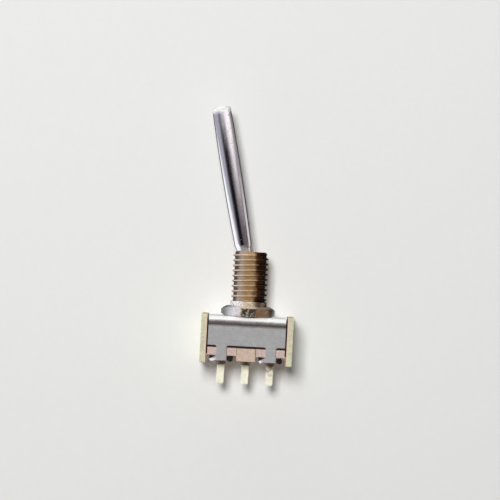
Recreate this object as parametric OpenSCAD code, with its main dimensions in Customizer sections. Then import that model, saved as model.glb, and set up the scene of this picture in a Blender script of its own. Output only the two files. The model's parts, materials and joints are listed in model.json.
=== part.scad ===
// Miniature panel-mount toggle switch with a long bat lever, single pole, two positions.
//
// Origin: on the bushing's axis, in the plane of the mounting nut's upper face, where a
// panel seats. +Z runs up the bushing, +X to the right, and the front looks along -Y.
// The lever is drawn thrown to the left, so the rocking contact arm is down on the right.
// All sizes are in millimetres and all angles in degrees.

/* [Lever] */
// Distance from the pivot to the lever's tip
lever_reach = 31.9; // [26:0.1:36]
// Swing of the lever to each side of upright
throw_deg = 12; // [10:0.5:13]
// Largest diameter of the bat
bat_dia = 3.56; // [3:0.02:3.8]
// Distance from the pivot to the bat's thickest place
bat_belly = 22; // [16:0.5:25]
// Diameter of the bat where it leaves the neck
bat_foot_dia = 3; // [2.6:0.02:3.4]
// Diameter of the bat at its tip, before the edge is rounded
bat_tip_dia = 3.28; // [2.6:0.02:3.6]
// Radius of the edge round the tip
tip_round = 0.4; // [0.1:0.05:0.8]
// Diameter of the neck that passes through the bushing
neck_dia = 2.5; // [2:0.05:2.5]
// Length of the neck above the bushing's mouth
neck_show = 0.7; // [0.1:0.05:2]
// Length of the taper from the neck out to the bat
neck_taper = 0.3; // [0.3:0.05:2]
// Diameter of the ball that the lever swings on
ball_dia = 4.5; // [4.2:0.05:4.7]
// Diameter of the drilled stem below the ball
stem_dia = 2.2; // [2.1:0.05:2.3]
// Diameter of the bore drilled up the stem
stem_bore = 1.5; // [1.3:0.05:1.6]
// Solid metal left between the cross pin's axis and the end of the stem's bore
bore_roof = 1.2; // [0.8:0.1:1.6]
// Diameter of the cross pin that keeps the ball from turning
cross_pin_dia = 0.8; // [0.6:0.05:1]
// Length of the cross pin
cross_pin_len = 5; // [4.8:0.05:5.1]

/* [Plunger and spring] */
// Diameter of the plunger
plunger_dia = 1.4; // [1.2:0.05:1.5]
// Length of the plunger's straight part
plunger_len = 2.6; // [2:0.1:3.2]
// How far the centre of the plunger's round tip stands out of the stem
plunger_out = 1; // [0.6:0.05:1.4]
// Diameter of the spring's wire
spring_wire = 0.2; // [0.12:0.01:0.25]
// Number of turns in the spring
spring_turns = 8; // [5:1:12]

/* [Bushing and nut] */
// Outer diameter over the bushing's thread
thread_dia = 6.35; // [6.3:0.05:7]
// Distance from one crest of the thread to the next
thread_pitch = 0.907; // [0.8:0.001:1.1]
// Depth of the thread, drawn as a row of plain grooves
thread_depth = 0.35; // [0.2:0.05:0.4]
// Width of each crest of the thread
crest_width = 0.3; // [0.2:0.05:0.35]
// Height of the plain collar left below the thread
collar_h = 0.85; // [0.5:0.05:1.5]
// Height of the bushing above the panel seat
barrel_len = 9.65; // [8.5:0.05:10.5]
// Chamfer round the bushing's top
barrel_chamfer = 0.35; // [0.1:0.05:0.5]
// How far the barrel is turned down under the nut, on the radius
shank_relief = 0.175; // [0.16:0.005:0.2]
// Depth of the pivot below the bushing's top
pivot_depth = 5.85; // [5:0.05:6.5]
// Wall of the spigot that is staked through the bracket
spigot_wall = 0.26; // [0.2:0.01:0.3]
// How far the staked rim stands out past the spigot
stake_rim = 0.2; // [0.1:0.05:0.2]
// Thickness of the staked rim
stake_h = 0.3; // [0.2:0.05:0.4]
// How far the rim droops from the spigot out to its edge
stake_droop = 0.08; // [0.05:0.01:0.15]
// Nut size across flats
nut_flats = 8.6; // [8.2:0.05:9]
// Nut thickness
nut_h = 1.8; // [1.5:0.05:2.2]
// Turn of the nut about the bushing's axis
nut_turn = 15; // [0:1:59]

/* [Bracket] */
// Gap between each end of the folded bracket and the case's end plate
bracket_gap = 0.25; // [0.1:0.05:0.6]
// Depth of the folded bracket over its two sides
bracket_d = 8.8; // [8.6:0.05:9.6]
// Height of the bracket's sides, from its top to their lower edge
bracket_h = 5.15; // [4.5:0.05:5.8]
// Thickness of the sheet
sheet = 0.45; // [0.35:0.05:0.5]
// Outer radius of the two long bends
bend_r = 1.4; // [0.8:0.05:1.4]
// Width of each tab's stem
tab_w = 1.75; // [1.4:0.05:2]
// Length of a tab's folded wing
wing_len = 1.75; // [1.2:0.05:1.9]
// Angle that each wing is folded in under the case
wing_fold = 45; // [30:1:55]
// Rounding of a wing's outer upper corner
wing_round = 0.55; // [0.2:0.05:0.8]
// Fillet where a tab leaves the side
tab_fillet = 0.35; // [0.15:0.05:0.5]

/* [Case] */
// Width of the case over its end plates
case_w = 16.2; // [15.6:0.1:18]
// Thickness of each end plate
plate_t = 1.05; // [0.8:0.05:1.2]
// Depth of the end plates
plate_d = 9; // [8.4:0.1:10]
// How far the end plates stand above the bracket's top
plate_rise = 0.2; // [0.1:0.05:0.6]
// How far the end plates reach below the underside of the case
plate_drop = 1.45; // [1.1:0.05:2]
// Depth of the case's underside below the bracket's top
case_h = 6.9; // [6.6:0.05:7.6]
// Wall of the case at its front and back
case_wall = 0.9; // [0.7:0.05:1.1]
// Room in the case beside each end terminal's head
head_room = 0.4; // [0.3:0.05:0.6]
// Thickness of the case's floor
floor_t = 1.1; // [0.8:0.05:1.3]
// Width of the boss in the middle of each side
boss_w = 3.3; // [2.4:0.1:3.6]
// Thickness of the boss's foot below the case
boss_foot = 1.2; // [0.9:0.05:1.5]
// How far the boss and the tabs reach below the underside of the case
foot_drop = 0.9; // [0.7:0.05:1]
// Rounding of the case's outer corners
case_round = 0.3; // [0.1:0.05:0.5]

/* [Terminals and contacts] */
// Distance between neighbouring terminals
pitch = 4.34; // [4.2:0.02:4.5]
// Width of a terminal's blade
blade_w = 1.3; // [1:0.05:1.4]
// Thickness of a terminal's blade
blade_t = 0.6; // [0.4:0.05:0.65]
// Length of the blades below the underside of the case
blade_drop = 5.2; // [3:0.1:7]
// Rounding of the corners of a blade's tip
blade_round = 0.35; // [0.1:0.05:0.45]
// Width of the flat head of each end terminal
head_w = 2.2; // [1.8:0.1:2.4]
// Depth of the terminals' flat heads
head_d = 2.7; // [2.2:0.1:3]
// Thickness of the flat heads
head_t = 0.45; // [0.3:0.05:0.5]
// Diameter of the contact buttons
button_dia = 1.5; // [1.2:0.05:1.7]
// Height of the contact buttons
button_h = 0.4; // [0.3:0.05:0.45]
// Radius of the dome on the contact buttons
button_dome = 2.5; // [1.6:0.1:4]
// Height of the fulcrum above the case's floor
fulcrum_h = 1.1; // [1:0.05:1.3]
// Radius of the fulcrum's rounded crest
crest_r = 0.35; // [0.25:0.05:0.4]
// Tilt of the rocking arm to each side of level
rock_deg = 5; // [4:0.5:6]
// Thickness of the rocking arm
arm_t = 0.4; // [0.3:0.05:0.5]
// Width of the rocking arm from front to back
arm_d = 2.8; // [2.4:0.1:3.2]
// How far the arm reaches past its contact buttons
arm_past = 1; // [0.9:0.05:1.1]
// Diameter of the moving contacts' rivet shanks
rivet_dia = 0.7; // [0.5:0.05:0.8]
// Height of the resin round each blade below the case
seal_h = 1.75; // [1.2:0.05:2.2]
// Radius of the resin where it meets the case
seal_r = 1.5; // [1.1:0.05:1.6]

/* [Fits] */
// Clearance round the ball, the cross pin and the fulcrum's crest
pivot_gap = 0.05; // [0.02:0.01:0.08]
// Clearance between the plunger and its bore, on the radius
plunger_gap = 0.05; // [0.03:0.01:0.08]
// Clearance between the lever and the bushing where they come nearest
stop_gap = 0.03; // [0.02:0.01:0.1]
// Clearance between the swinging stem and the bushing's lower end
swing_gap = 0.07; // [0.04:0.01:0.12]
// Clearance between contacts that close
contact_gap = 0.03; // [0.02:0.01:0.06]
// Clearance between pieces that are seated or pressed together
seat_gap = 0.02; // [0.01:0.01:0.04]
// Clearance between the bracket's sides and the case
case_gap = 0.05; // [0.03:0.01:0.1]

/* [Hidden] */
$fn = 64;
eps = 0.05;

// Levels, from the panel seat downwards
pivot_z = barrel_len - pivot_depth;
bracket_top = -nut_h;
web_under = bracket_top - sheet;
spigot_low = web_under - stake_h;
side_low = bracket_top - bracket_h;
case_low = bracket_top - case_h;
foot_low = case_low - foot_drop;
plate_low = case_low - plate_drop;
plate_top = bracket_top + plate_rise;
floor_z = case_low + floor_t;
blade_low = case_low - blade_drop;
fulcrum_z = floor_z + fulcrum_h;

// Lever and bushing bore
ball_r = ball_dia / 2;
seat_r = ball_r + pivot_gap;
neck_r = neck_dia / 2;
stem_r = stem_dia / 2;
neck_end = pivot_depth / cos(throw_deg) + neck_show;
bat_start = neck_end + neck_taper;
throat_r = bat_dia / 2 + swing_gap;
throat_h = sqrt(seat_r * seat_r - throat_r * throat_r);
mouth_r = pivot_depth * tan(throw_deg) + neck_r / cos(throw_deg) + stop_gap;
mouth_slope = (mouth_r - throat_r) / (pivot_depth - throat_h);
spigot_bore_r = (pivot_z - spigot_low) * tan(throw_deg) + stem_r / cos(throw_deg) + swing_gap;
spigot_r = spigot_bore_r + spigot_wall;
barrel_r = thread_dia / 2;
shank_r = barrel_r - shank_relief;
root_r = barrel_r - thread_depth;
root_width = (thread_pitch - crest_width) / 3;
groove_top = barrel_len - barrel_chamfer - crest_width;
groove_count = floor((groove_top - collar_h + crest_width) / thread_pitch);
stake_r = spigot_r + stake_rim;
guide_low = pivot_z - ball_r * 0.6;
flare_h = 0.8;
pin_slot_r = norm([cross_pin_len, cross_pin_dia]) / 2 + pivot_gap;

// Bracket and case
half_d = bracket_d / 2;
inner_half_d = half_d - sheet;
case_half_d = inner_half_d - case_gap;
plate_in = case_w / 2 - plate_t;
bracket_w = 2 * (plate_in - bracket_gap);
cavity_half_w = pitch + head_w / 2 + head_room;
cavity_half_d = case_half_d - case_wall;
stake_recess = stake_h + case_gap;

// Contacts: heights of the rocking arm above the fulcrum when it is level
fixed_top = floor_z + head_t + button_h - fulcrum_z;
button_low = (fixed_top + button_dome + contact_gap + pitch * sin(rock_deg)) / cos(rock_deg)
    - button_dome;
arm_low = button_low + button_h;
arm_high = arm_low + arm_t;
groove_r = crest_r + pivot_gap;

// Plunger: how far its tip's centre lies from the pivot as it passes over the fulcrum
plunger_r = plunger_dia / 2;
plunger_reach = pivot_z - fulcrum_z - arm_high - plunger_r - stop_gap;
stem_end = plunger_reach - plunger_out;
plunger_top = plunger_reach - plunger_len;
spring_len = plunger_top - bore_roof - 2 * seat_gap;
spring_r = stem_bore / 2 - plunger_gap - spring_wire / 2;

// Radius of the bat at distance s from the pivot: two half parabolas that meet at the belly
function bat_r(s) = s < bat_belly
    ? bat_dia / 2 - (bat_dia - bat_foot_dia) / 2 * pow((bat_belly - s) / (bat_belly - bat_start), 2)
    : bat_dia / 2 - (bat_dia - bat_tip_dia) / 2 * pow((s - bat_belly) / (lever_reach - bat_belly), 2);

// Rectangle centred across the page, from y = low to y = high, with all corners rounded
module rounded_panel(width, low, high, r) {
    union() {
        translate([-width / 2 + r, low]) square([width - 2 * r, high - low]);
        translate([-width / 2, low + r]) square([width, high - low - 2 * r]);
        for (x = [-1, 1], y = [low + r, high - r]) translate([x * (width / 2 - r), y]) circle(r);
    }
}

// Stands a drawing up so that its x runs along Y and its y along Z, extruded about X = 0
module across(width) {
    rotate([90, 0, 90]) translate([0, 0, -width / 2]) linear_extrude(width) children();
}

// Stands a drawing up so that its x runs along X and its y along Z, extruded about Y = 0
module along(depth) {
    rotate([90, 0, 0]) translate([0, 0, -depth / 2]) linear_extrude(depth) children();
}

// Places what belongs to the lever: the pivot is at the origin, the lever's axis is Z
module on_lever() {
    translate([0, 0, pivot_z]) rotate([0, -throw_deg, 0]) children();
}

// Places what belongs to the rocking arm: the fulcrum is at the origin, the arm lies along X
module on_rocker() {
    translate([0, 0, fulcrum_z]) rotate([0, rock_deg, 0]) children();
}

// Lever: bat, neck, ball and drilled stem, turned in one piece
module lever() {
    tip_start = lever_reach - tip_round;
    tip_r = bat_r(tip_start) - tip_round;
    bat_steps = 20;
    bat = [for (i = [0:bat_steps]) let (s = bat_start + (tip_start - bat_start) * i / bat_steps)
        [bat_r(s), s]];
    edge = [for (a = [15:15:90]) [tip_r + tip_round * cos(a), tip_start + tip_round * sin(a)]];
    color("gainsboro") on_lever() difference() {
        union() {
            rotate_extrude()
                polygon(concat([[0, 0], [neck_r, 0], [neck_r, neck_end]], bat, edge,
                    [[0, lever_reach]]));
            sphere(ball_r);
            translate([0, 0, -stem_end]) cylinder(h = stem_end, r = stem_r);
        }
        translate([0, 0, -stem_end - eps])
            cylinder(h = stem_end - bore_roof + eps, r = stem_bore / 2);
        rotate([90, 0, 0])
            cylinder(h = ball_dia + 1, r = cross_pin_dia / 2 + seat_gap, center = true);
    }
}

// Cross pin through the ball, running in two slots in the bushing
module lever_pin() {
    color("darkgray") on_lever() rotate([90, 0, 0])
        cylinder(h = cross_pin_len, r = cross_pin_dia / 2, center = true);
}

// Plunger with a round tip, drawn at the place where it passes over the fulcrum
module plunger() {
    color("ivory") on_lever() translate([0, 0, -plunger_reach]) {
        sphere(plunger_r);
        cylinder(h = plunger_len, r = plunger_r);
    }
}

// Compression spring between the plunger and the end of the stem's bore, with closed ends
module plunger_spring() {
    steps = 12;
    sides = 6;
    last = spring_turns * steps;
    rise = (spring_len - 3 * spring_wire) / (spring_turns - 2);
    function coil_z(t) = spring_wire / 2 + (t < 1 ? t * spring_wire
        : t > spring_turns - 1 ? spring_len - spring_wire - (spring_turns - t) * spring_wire
        : spring_wire + (t - 1) * rise);
    points = [for (i = [0:last], k = [0:sides - 1])
        let (turn = i / steps, around = 360 * k / sides,
            r = spring_r + spring_wire / 2 * cos(around))
        [r * cos(360 * turn), r * sin(360 * turn), coil_z(turn) + spring_wire / 2 * sin(around)]];
    skin = [for (i = [0:last - 1], k = [0:sides - 1])
        let (a = i * sides + k, b = i * sides + (k + 1) % sides)
        each [[a, a + sides, b], [b, a + sides, b + sides]]];
    first_cap = [for (k = [0:sides - 1]) k];
    last_cap = [for (k = [sides - 1:-1:0]) last * sides + k];
    color("lightgray") on_lever() translate([0, 0, -plunger_top + seat_gap])
        polyhedron(points, concat(skin, [first_cap, last_cap]));
}

// Outline of one groove of the thread, from its lower edge up, as pairs of radius and height
function groove(top) = [
    [barrel_r, top + crest_width - thread_pitch],
    [root_r, top - (thread_pitch - crest_width + root_width) / 2],
    [root_r, top - (thread_pitch - crest_width - root_width) / 2],
    [barrel_r, top]
];

// Bushing: threaded barrel with a conical mouth, ball seat, pin slots and staked spigot
module bushing() {
    guide_h = pivot_z - guide_low;
    color("goldenrod") difference() {
        rotate_extrude() polygon([
            [0, spigot_low], [stake_r, spigot_low], [stake_r, web_under - seat_gap - stake_droop],
            [spigot_r, web_under - seat_gap], [spigot_r, bracket_top], [shank_r, bracket_top],
            [shank_r, 0], [barrel_r, 0],
            for (i = [groove_count - 1:-1:0]) each groove(groove_top - i * thread_pitch),
            [barrel_r, barrel_len - barrel_chamfer],
            [barrel_r - barrel_chamfer, barrel_len], [0, barrel_len]
        ]);
        translate([0, 0, pivot_z + throat_h])
            cylinder(h = pivot_depth - throat_h + eps, r1 = throat_r,
                r2 = mouth_r + eps * mouth_slope);
        translate([0, 0, pivot_z]) cylinder(h = throat_h + eps, r = throat_r);
        translate([0, 0, pivot_z]) sphere(seat_r);
        translate([0, 0, guide_low]) cylinder(h = guide_h, r = seat_r);
        translate([0, 0, guide_low - flare_h])
            cylinder(h = flare_h, r1 = spigot_bore_r, r2 = seat_r);
        translate([0, 0, spigot_low - eps])
            cylinder(h = guide_low - flare_h - spigot_low + eps, r = spigot_bore_r);
        intersection() {
            union() {
                translate([0, 0, pivot_z]) rotate([90, 0, 0])
                    cylinder(h = 2 * barrel_r, r = cross_pin_dia / 2 + pivot_gap, center = true);
                translate([-cross_pin_dia / 2 - pivot_gap, -barrel_r, guide_low - flare_h])
                    cube([cross_pin_dia + 2 * pivot_gap, 2 * barrel_r, guide_h + flare_h]);
            }
            translate([0, 0, guide_low - flare_h])
                cylinder(h = guide_h + flare_h + cross_pin_dia, r = pin_slot_r);
        }
    }
}

// Hexagon nut, chamfered above and below
module mounting_nut() {
    corner_r = nut_flats / 2 / cos(30);
    drop = (corner_r - nut_flats / 2) * tan(30);
    color("silver") translate([0, 0, -nut_h]) difference() {
        intersection() {
            rotate([0, 0, nut_turn]) cylinder(h = nut_h, r = corner_r, $fn = 6);
            rotate_extrude() polygon([
                [0, 0], [nut_flats / 2, 0], [corner_r, drop], [corner_r, nut_h - drop],
                [nut_flats / 2, nut_h], [0, nut_h]
            ]);
        }
        translate([0, 0, -eps]) cylinder(h = nut_h + 2 * eps, r = shank_r + seat_gap);
    }
}

// Section of the bracket, of its inside and of the case: square at the foot, rounded on top
module channel(half, top, low, r) {
    translate([-half, low]) square([2 * half, top - r - low]);
    translate([-half + r, low]) square([2 * (half - r), top - low]);
    for (side = [-1, 1]) translate([side * (half - r), top - r]) circle(r);
}

// T-shaped tab of the bracket, standing at x = 0 in the plane of the front side
module tab() {
    wing_top = case_low - seat_gap;
    wing_h = wing_top - foot_low;
    translate([0, -half_d, 0]) {
        translate([-tab_w / 2, 0, foot_low]) cube([tab_w, sheet, side_low + eps - foot_low]);
        for (side = [0, 1]) mirror([side, 0, 0]) {
            translate([tab_w / 2, sheet, side_low - tab_fillet]) rotate([90, 0, 0])
                linear_extrude(sheet) difference() {
                    square([tab_fillet, tab_fillet + eps]);
                    translate([tab_fillet, 0]) circle(tab_fillet);
                }
            translate([tab_w / 2, 0, foot_low]) rotate([0, 0, wing_fold])
                translate([0, sheet, 0]) rotate([90, 0, 0]) linear_extrude(sheet) {
                    square([wing_len, wing_h - wing_round]);
                    square([wing_len - wing_round, wing_h]);
                    translate([wing_len - wing_round, wing_h - wing_round]) circle(wing_round);
                }
        }
    }
}

// Bracket: one sheet folded over the case, clinched under it by four T-shaped tabs
module bracket() {
    color("gray") difference() {
        union() {
            across(bracket_w) difference() {
                channel(half_d, bracket_top, side_low, bend_r);
                channel(inner_half_d, web_under, side_low - eps, bend_r - sheet);
            }
            for (x = [-pitch, pitch], turn = [0, 180]) rotate([0, 0, turn])
                translate([x, 0, 0]) tab();
        }
        translate([0, 0, web_under - eps]) cylinder(h = sheet + 2 * eps, r = spigot_r + seat_gap);
    }
}

// Slot that a terminal's blade passes through, centred on the origin
module blade_slot(gap) {
    translate([0, 0, (floor_z + plate_low) / 2])
        cube([blade_w + 2 * gap, blade_t + 2 * gap, floor_z - plate_low + 1], center = true);
}

// Case: an open-topped box between two end plates, with a boss on each side
module case() {
    shoulder_top = web_under - seat_gap;
    recess_low = web_under - stake_recess;
    boss_top = side_low - 2 * case_gap;
    color("antiquewhite") difference() {
        union() {
            across(2 * plate_in) channel(case_half_d, shoulder_top, case_low, bend_r - sheet);
            for (side = [-1, 1]) translate([side * (plate_in + plate_t / 2), 0, 0])
                across(plate_t) rounded_panel(plate_d, plate_low, plate_top, case_round);
            for (turn = [0, 180]) rotate([0, 0, turn]) {
                translate([-boss_w / 2, -half_d, case_low])
                    cube([boss_w, half_d - cavity_half_d, boss_top - case_low]);
                translate([-boss_w / 2, -half_d, foot_low])
                    cube([boss_w, boss_foot, case_low - foot_low + eps]);
            }
        }
        translate([-cavity_half_w, -cavity_half_d, floor_z])
            cube([2 * cavity_half_w, 2 * cavity_half_d, shoulder_top - floor_z + eps]);
        translate([0, 0, recess_low]) cylinder(h = stake_recess + eps, r = stake_r + case_gap);
        for (x = [-pitch, 0, pitch]) translate([x, 0, 0]) blade_slot(seat_gap);
    }
}

// Flat blade with a rounded tip, from the top of its head to the end
module blade(top) {
    along(blade_t) rounded_panel(blade_w, blade_low, top, blade_round);
    along(blade_t) translate([-blade_w / 2, top - 2 * blade_round])
        square([blade_w, 2 * blade_round]);
}

// End terminal: a blade under a flat head that lies on the case's floor
module end_terminal(x) {
    color("beige") translate([x, 0, 0]) {
        blade(floor_z + head_t);
        translate([-head_w / 2, -head_d / 2, floor_z]) cube([head_w, head_d, head_t]);
    }
}

// Centre terminal: a blade under a cradle, whose two ears carry the rocking arm
module center_terminal() {
    ear_t = head_t;
    ear_foot = head_w / 2 - crest_r;
    color("beige") {
        blade(floor_z + head_t);
        translate([-head_w / 2, -head_d / 2, floor_z]) cube([head_w, head_d, head_t]);
        for (side = [-1, 1]) translate([0, side * (head_d - ear_t) / 2, 0]) along(ear_t) {
            polygon([
                [-ear_foot, floor_z], [ear_foot, floor_z],
                [crest_r, fulcrum_z], [-crest_r, fulcrum_z]
            ]);
            translate([0, fulcrum_z]) circle(crest_r);
        }
    }
}

// Resin round a blade under the case, drawn up into a hollow curve
module seal(x) {
    tip_r = norm([blade_w, blade_t]) / 2 + 0.08;
    steps = 8;
    skin = [for (i = [0:steps]) [tip_r + (seal_r - tip_r) * pow(i / steps, 1.6),
        case_low - seal_h + seal_h * i / steps]];
    color("saddlebrown") translate([x, 0, 0]) difference() {
        rotate_extrude() polygon(concat([[0, case_low], [0, case_low - seal_h]], skin));
        blade_slot(0);
    }
}

// Domed contact button with its foot at z = 0 and its dome upwards
module button() {
    intersection() {
        cylinder(h = button_h, r = button_dia / 2);
        translate([0, 0, button_h - button_dome]) sphere(button_dome);
    }
}

// Fixed contact, welded on the flat head of an end terminal
module fixed_contact(x) {
    color("white") translate([x, 0, floor_z + head_t]) button();
}

// Moving contact, riveted through the rocking arm
module moving_contact(x) {
    rivet_head_h = 0.2;
    color("white") on_rocker() translate([x, 0, 0]) {
        translate([0, 0, arm_low]) mirror([0, 0, 1]) button();
        translate([0, 0, arm_low - eps]) cylinder(h = arm_t + 2 * eps, r = rivet_dia / 2);
        translate([0, 0, arm_high]) cylinder(h = rivet_head_h, r = rivet_dia / 2 + rivet_head_h);
    }
}

// Rocking arm: a strip with a grooved saddle that sits on the fulcrum
module rocker() {
    reach = pitch + arm_past;
    saddle_w = 2 * (groove_r + arm_t);
    color("peru") on_rocker() difference() {
        along(arm_d) difference() {
            union() {
                rounded_panel(2 * reach, arm_low, arm_high, arm_t / 4);
                polygon([
                    [-saddle_w / 2, 0], [saddle_w / 2, 0],
                    [saddle_w / 2 + arm_low, arm_low + arm_t / 2],
                    [-saddle_w / 2 - arm_low, arm_low + arm_t / 2]
                ]);
            }
            circle(groove_r);
        }
        for (x = [-pitch, pitch]) translate([x, 0, arm_low - eps])
            cylinder(h = arm_t + 2 * eps, r = rivet_dia / 2 + seat_gap);
    }
}

lever();
lever_pin();
plunger();
plunger_spring();
bushing();
mounting_nut();
bracket();
case();
end_terminal(-pitch);  // left_terminal
center_terminal();
end_terminal(pitch);  // right_terminal
seal(-pitch);  // left_seal
seal(0);  // center_seal
seal(pitch);  // right_seal
fixed_contact(-pitch);  // left_fixed_contact
fixed_contact(pitch);  // right_fixed_contact
rocker();
moving_contact(-pitch);  // left_moving_contact
moving_contact(pitch);  // right_moving_contact
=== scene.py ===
import json
import math

import bmesh
import bpy
from bpy.props import FloatProperty, FloatVectorProperty, IntProperty, PointerProperty
from mathutils import Matrix, Vector


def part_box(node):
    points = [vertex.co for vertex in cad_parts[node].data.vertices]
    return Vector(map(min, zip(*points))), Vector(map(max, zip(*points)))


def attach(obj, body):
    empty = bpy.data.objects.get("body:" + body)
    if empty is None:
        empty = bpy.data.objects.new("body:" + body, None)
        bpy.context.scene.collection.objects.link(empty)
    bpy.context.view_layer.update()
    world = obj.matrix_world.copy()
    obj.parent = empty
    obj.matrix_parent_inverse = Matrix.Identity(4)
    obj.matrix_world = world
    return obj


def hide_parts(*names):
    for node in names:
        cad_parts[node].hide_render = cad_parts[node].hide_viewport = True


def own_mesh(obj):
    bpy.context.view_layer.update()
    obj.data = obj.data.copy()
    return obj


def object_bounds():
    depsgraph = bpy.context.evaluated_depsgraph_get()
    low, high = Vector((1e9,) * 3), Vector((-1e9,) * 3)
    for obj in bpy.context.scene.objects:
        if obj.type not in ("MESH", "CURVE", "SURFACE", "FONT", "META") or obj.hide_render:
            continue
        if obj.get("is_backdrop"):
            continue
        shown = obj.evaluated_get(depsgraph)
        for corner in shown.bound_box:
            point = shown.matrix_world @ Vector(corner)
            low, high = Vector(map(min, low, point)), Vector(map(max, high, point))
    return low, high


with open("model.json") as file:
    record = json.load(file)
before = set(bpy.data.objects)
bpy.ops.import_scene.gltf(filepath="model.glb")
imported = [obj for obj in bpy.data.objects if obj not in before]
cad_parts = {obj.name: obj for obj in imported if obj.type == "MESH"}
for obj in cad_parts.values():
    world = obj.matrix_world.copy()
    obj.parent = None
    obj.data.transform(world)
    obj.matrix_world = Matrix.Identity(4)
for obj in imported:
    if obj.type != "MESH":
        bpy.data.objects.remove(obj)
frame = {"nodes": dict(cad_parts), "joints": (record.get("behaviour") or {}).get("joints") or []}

bl_info = {
    "name": "Bat Lever Toggle Switch",
    "version": (1, 0, 0),
    "blender": (4, 5, 0),
    "location": "3D View > Sidebar > Toggle Switch",
    "description": "Finishes the pieces of a miniature toggle switch and sets up its stage",
    "category": "Object",
}

MM = 0.001
MICRON = 1e-6
WELD = 1e-6


# ---------------------------------------------------------------- settings

def length(label, text, millimetres):
    """Property for a length, given in millimetres and kept in metres."""
    return FloatProperty(
        name=label, description=text, default=millimetres * MM, min=0.0,
        precision=5, unit="LENGTH",
    )


def colour(label, text, red, green, blue):
    """Property for a linear colour."""
    return FloatVectorProperty(
        name=label, description=text, default=(red, green, blue), min=0.0, max=1.0,
        subtype="COLOR", size=3,
    )


def count(label, text, number):
    """Property for a whole number."""
    return IntProperty(name=label, description=text, default=number, min=3)


def amount(label, text, number):
    """Property for a plain number."""
    return FloatProperty(name=label, description=text, default=number, precision=4)


def turn_of(label, text, degrees):
    """Property for an angle, given in degrees and kept in radians."""
    return FloatProperty(
        name=label, description=text, default=math.radians(degrees), subtype="ANGLE",
    )


class ToggleLeverSizes(bpy.types.PropertyGroup):
    """Sizes of the lever, measured along its own axis from the pivot"""

    reach: length("Reach", "Distance from the pivot to the tip", 31.9)
    belly: length("Belly place", "Distance from the pivot to the thickest place", 22.0)
    belly_r: length("Belly radius", "Largest radius of the bat", 1.78)
    foot_r: length("Foot radius", "Radius of the bat where it leaves the neck", 1.5)
    tip_r: length("Tip radius", "Radius of the bat at its tip", 1.64)
    tip_round: length("Tip edge", "Rounding of the edge round the tip", 0.4)
    neck_r: length("Neck radius", "Radius of the neck in the bushing", 1.25)
    neck_end: length("Neck end", "Distance from the pivot to the end of the neck", 6.28)
    taper: length("Taper", "Length of the taper from the neck to the bat", 0.9)
    ball_r: length("Ball radius", "Radius of the ball that the lever swings on", 2.25)
    stem_r: length("Stem radius", "Radius of the stem below the ball", 1.1)
    stem_end: length("Stem end", "Distance from the pivot to the end of the stem", 7.6016)
    bore_r: length("Bore radius", "Radius of the bore up the stem", 0.75)
    bore_roof: length("Bore roof", "Distance from the pivot to the top of the bore", 1.2)
    pin_hole_r: length("Pin hole", "Radius of the cross hole in the ball", 0.42)
    steps: count("Steps round", "Number of steps round the lever", 160)


class ToggleThreadSizes(bpy.types.PropertyGroup):
    """Sizes of the bushing and its thread"""

    crest_r: length("Crest radius", "Radius over the thread", 3.175)
    root_r: length("Root radius", "Radius at the bottom of the thread", 2.78)
    pitch: length("Pitch", "Rise of the thread in one turn", 0.907)
    first_crest: length("First crest", "Height of a crest at the front", 0.975)
    height: length("Height", "Height of the bushing above the panel seat", 9.65)
    chamfer: length("Chamfer", "Chamfer at the top of the thread", 0.5)
    top_r: length("Top radius", "Radius of the bushing's top edge", 2.66)
    foot_r: length("Foot radius", "Radius where the thread runs out at the collar", 2.85)
    collar_r: length("Collar radius", "Radius of the plain collar under the thread", 3.22)
    collar_h: length("Collar height", "Height of the collar above the panel seat", 0.85)
    mouth_r: length("Mouth radius", "Radius of the conical mouth at the top", 2.54)
    throat_r: length("Throat radius", "Radius of the mouth at its narrow end", 1.85)
    seat_r: length("Seat radius", "Radius of the round seat for the ball", 2.3)
    pivot: length("Pivot", "Height of the pivot above the panel seat", 3.8)
    steps: count("Steps round", "Number of steps round the thread", 144)
    rows: count("Rows", "Number of rows up the thread", 200)


class ToggleNutSizes(bpy.types.PropertyGroup):
    """Sizes of the hexagon nut"""

    flats: length("Across flats", "Width of the nut across its flats", 8.6)
    height: length("Height", "Height of the nut", 1.8)
    bore_r: length("Bore radius", "Radius of the nut's bore", 3.02)
    lead: length("Lead", "Chamfer at both ends of the bore", 0.12)
    corner: length("Corner", "Rounding of the nut's six corners", 0.18)
    bevel: length("Bevel", "Width of the chamfer on top at the middle of a flat", 0.45)
    under: length("Lower bevel", "Width of the chamfer below at the middle of a flat", 0.1)
    slope: turn_of("Chamfer slope", "Slope of the chamfers above and below", 30.0)
    turn: turn_of("Turn", "Turn of the nut about the bushing", 15.0)


class ToggleSpringSizes(bpy.types.PropertyGroup):
    """Sizes of the spring in the lever's stem"""

    coil_r: length("Coil radius", "Radius of the coil at the wire's centre", 0.6)
    wire_r: length("Wire radius", "Radius of the wire", 0.1)
    free: length("Length", "Length of the spring in the stem", 4.7616)
    start: length("Start", "Distance from the pivot to the fixed end", 1.22)
    turns: amount("Turns", "Number of turns of the wire", 8.0)
    press: amount("Kept length", "Share of the length left when pressed", 0.9265)
    steps: count("Steps along", "Number of steps along the wire", 321)
    sides: count("Sides", "Number of sides of the wire", 12)


class ToggleEdgeSizes(bpy.types.PropertyGroup):
    """Small edge roundings of the other pieces"""

    bracket: length("Bracket edges", "Rounding of the sheet's cut edges", 0.05)
    case: length("Case edges", "Rounding of the moulded edges", 0.1)
    terminal: length("Terminal edges", "Rounding of the blades' edges", 0.09)
    small: length("Small edges", "Rounding of the small inner pieces", 0.03)


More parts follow.
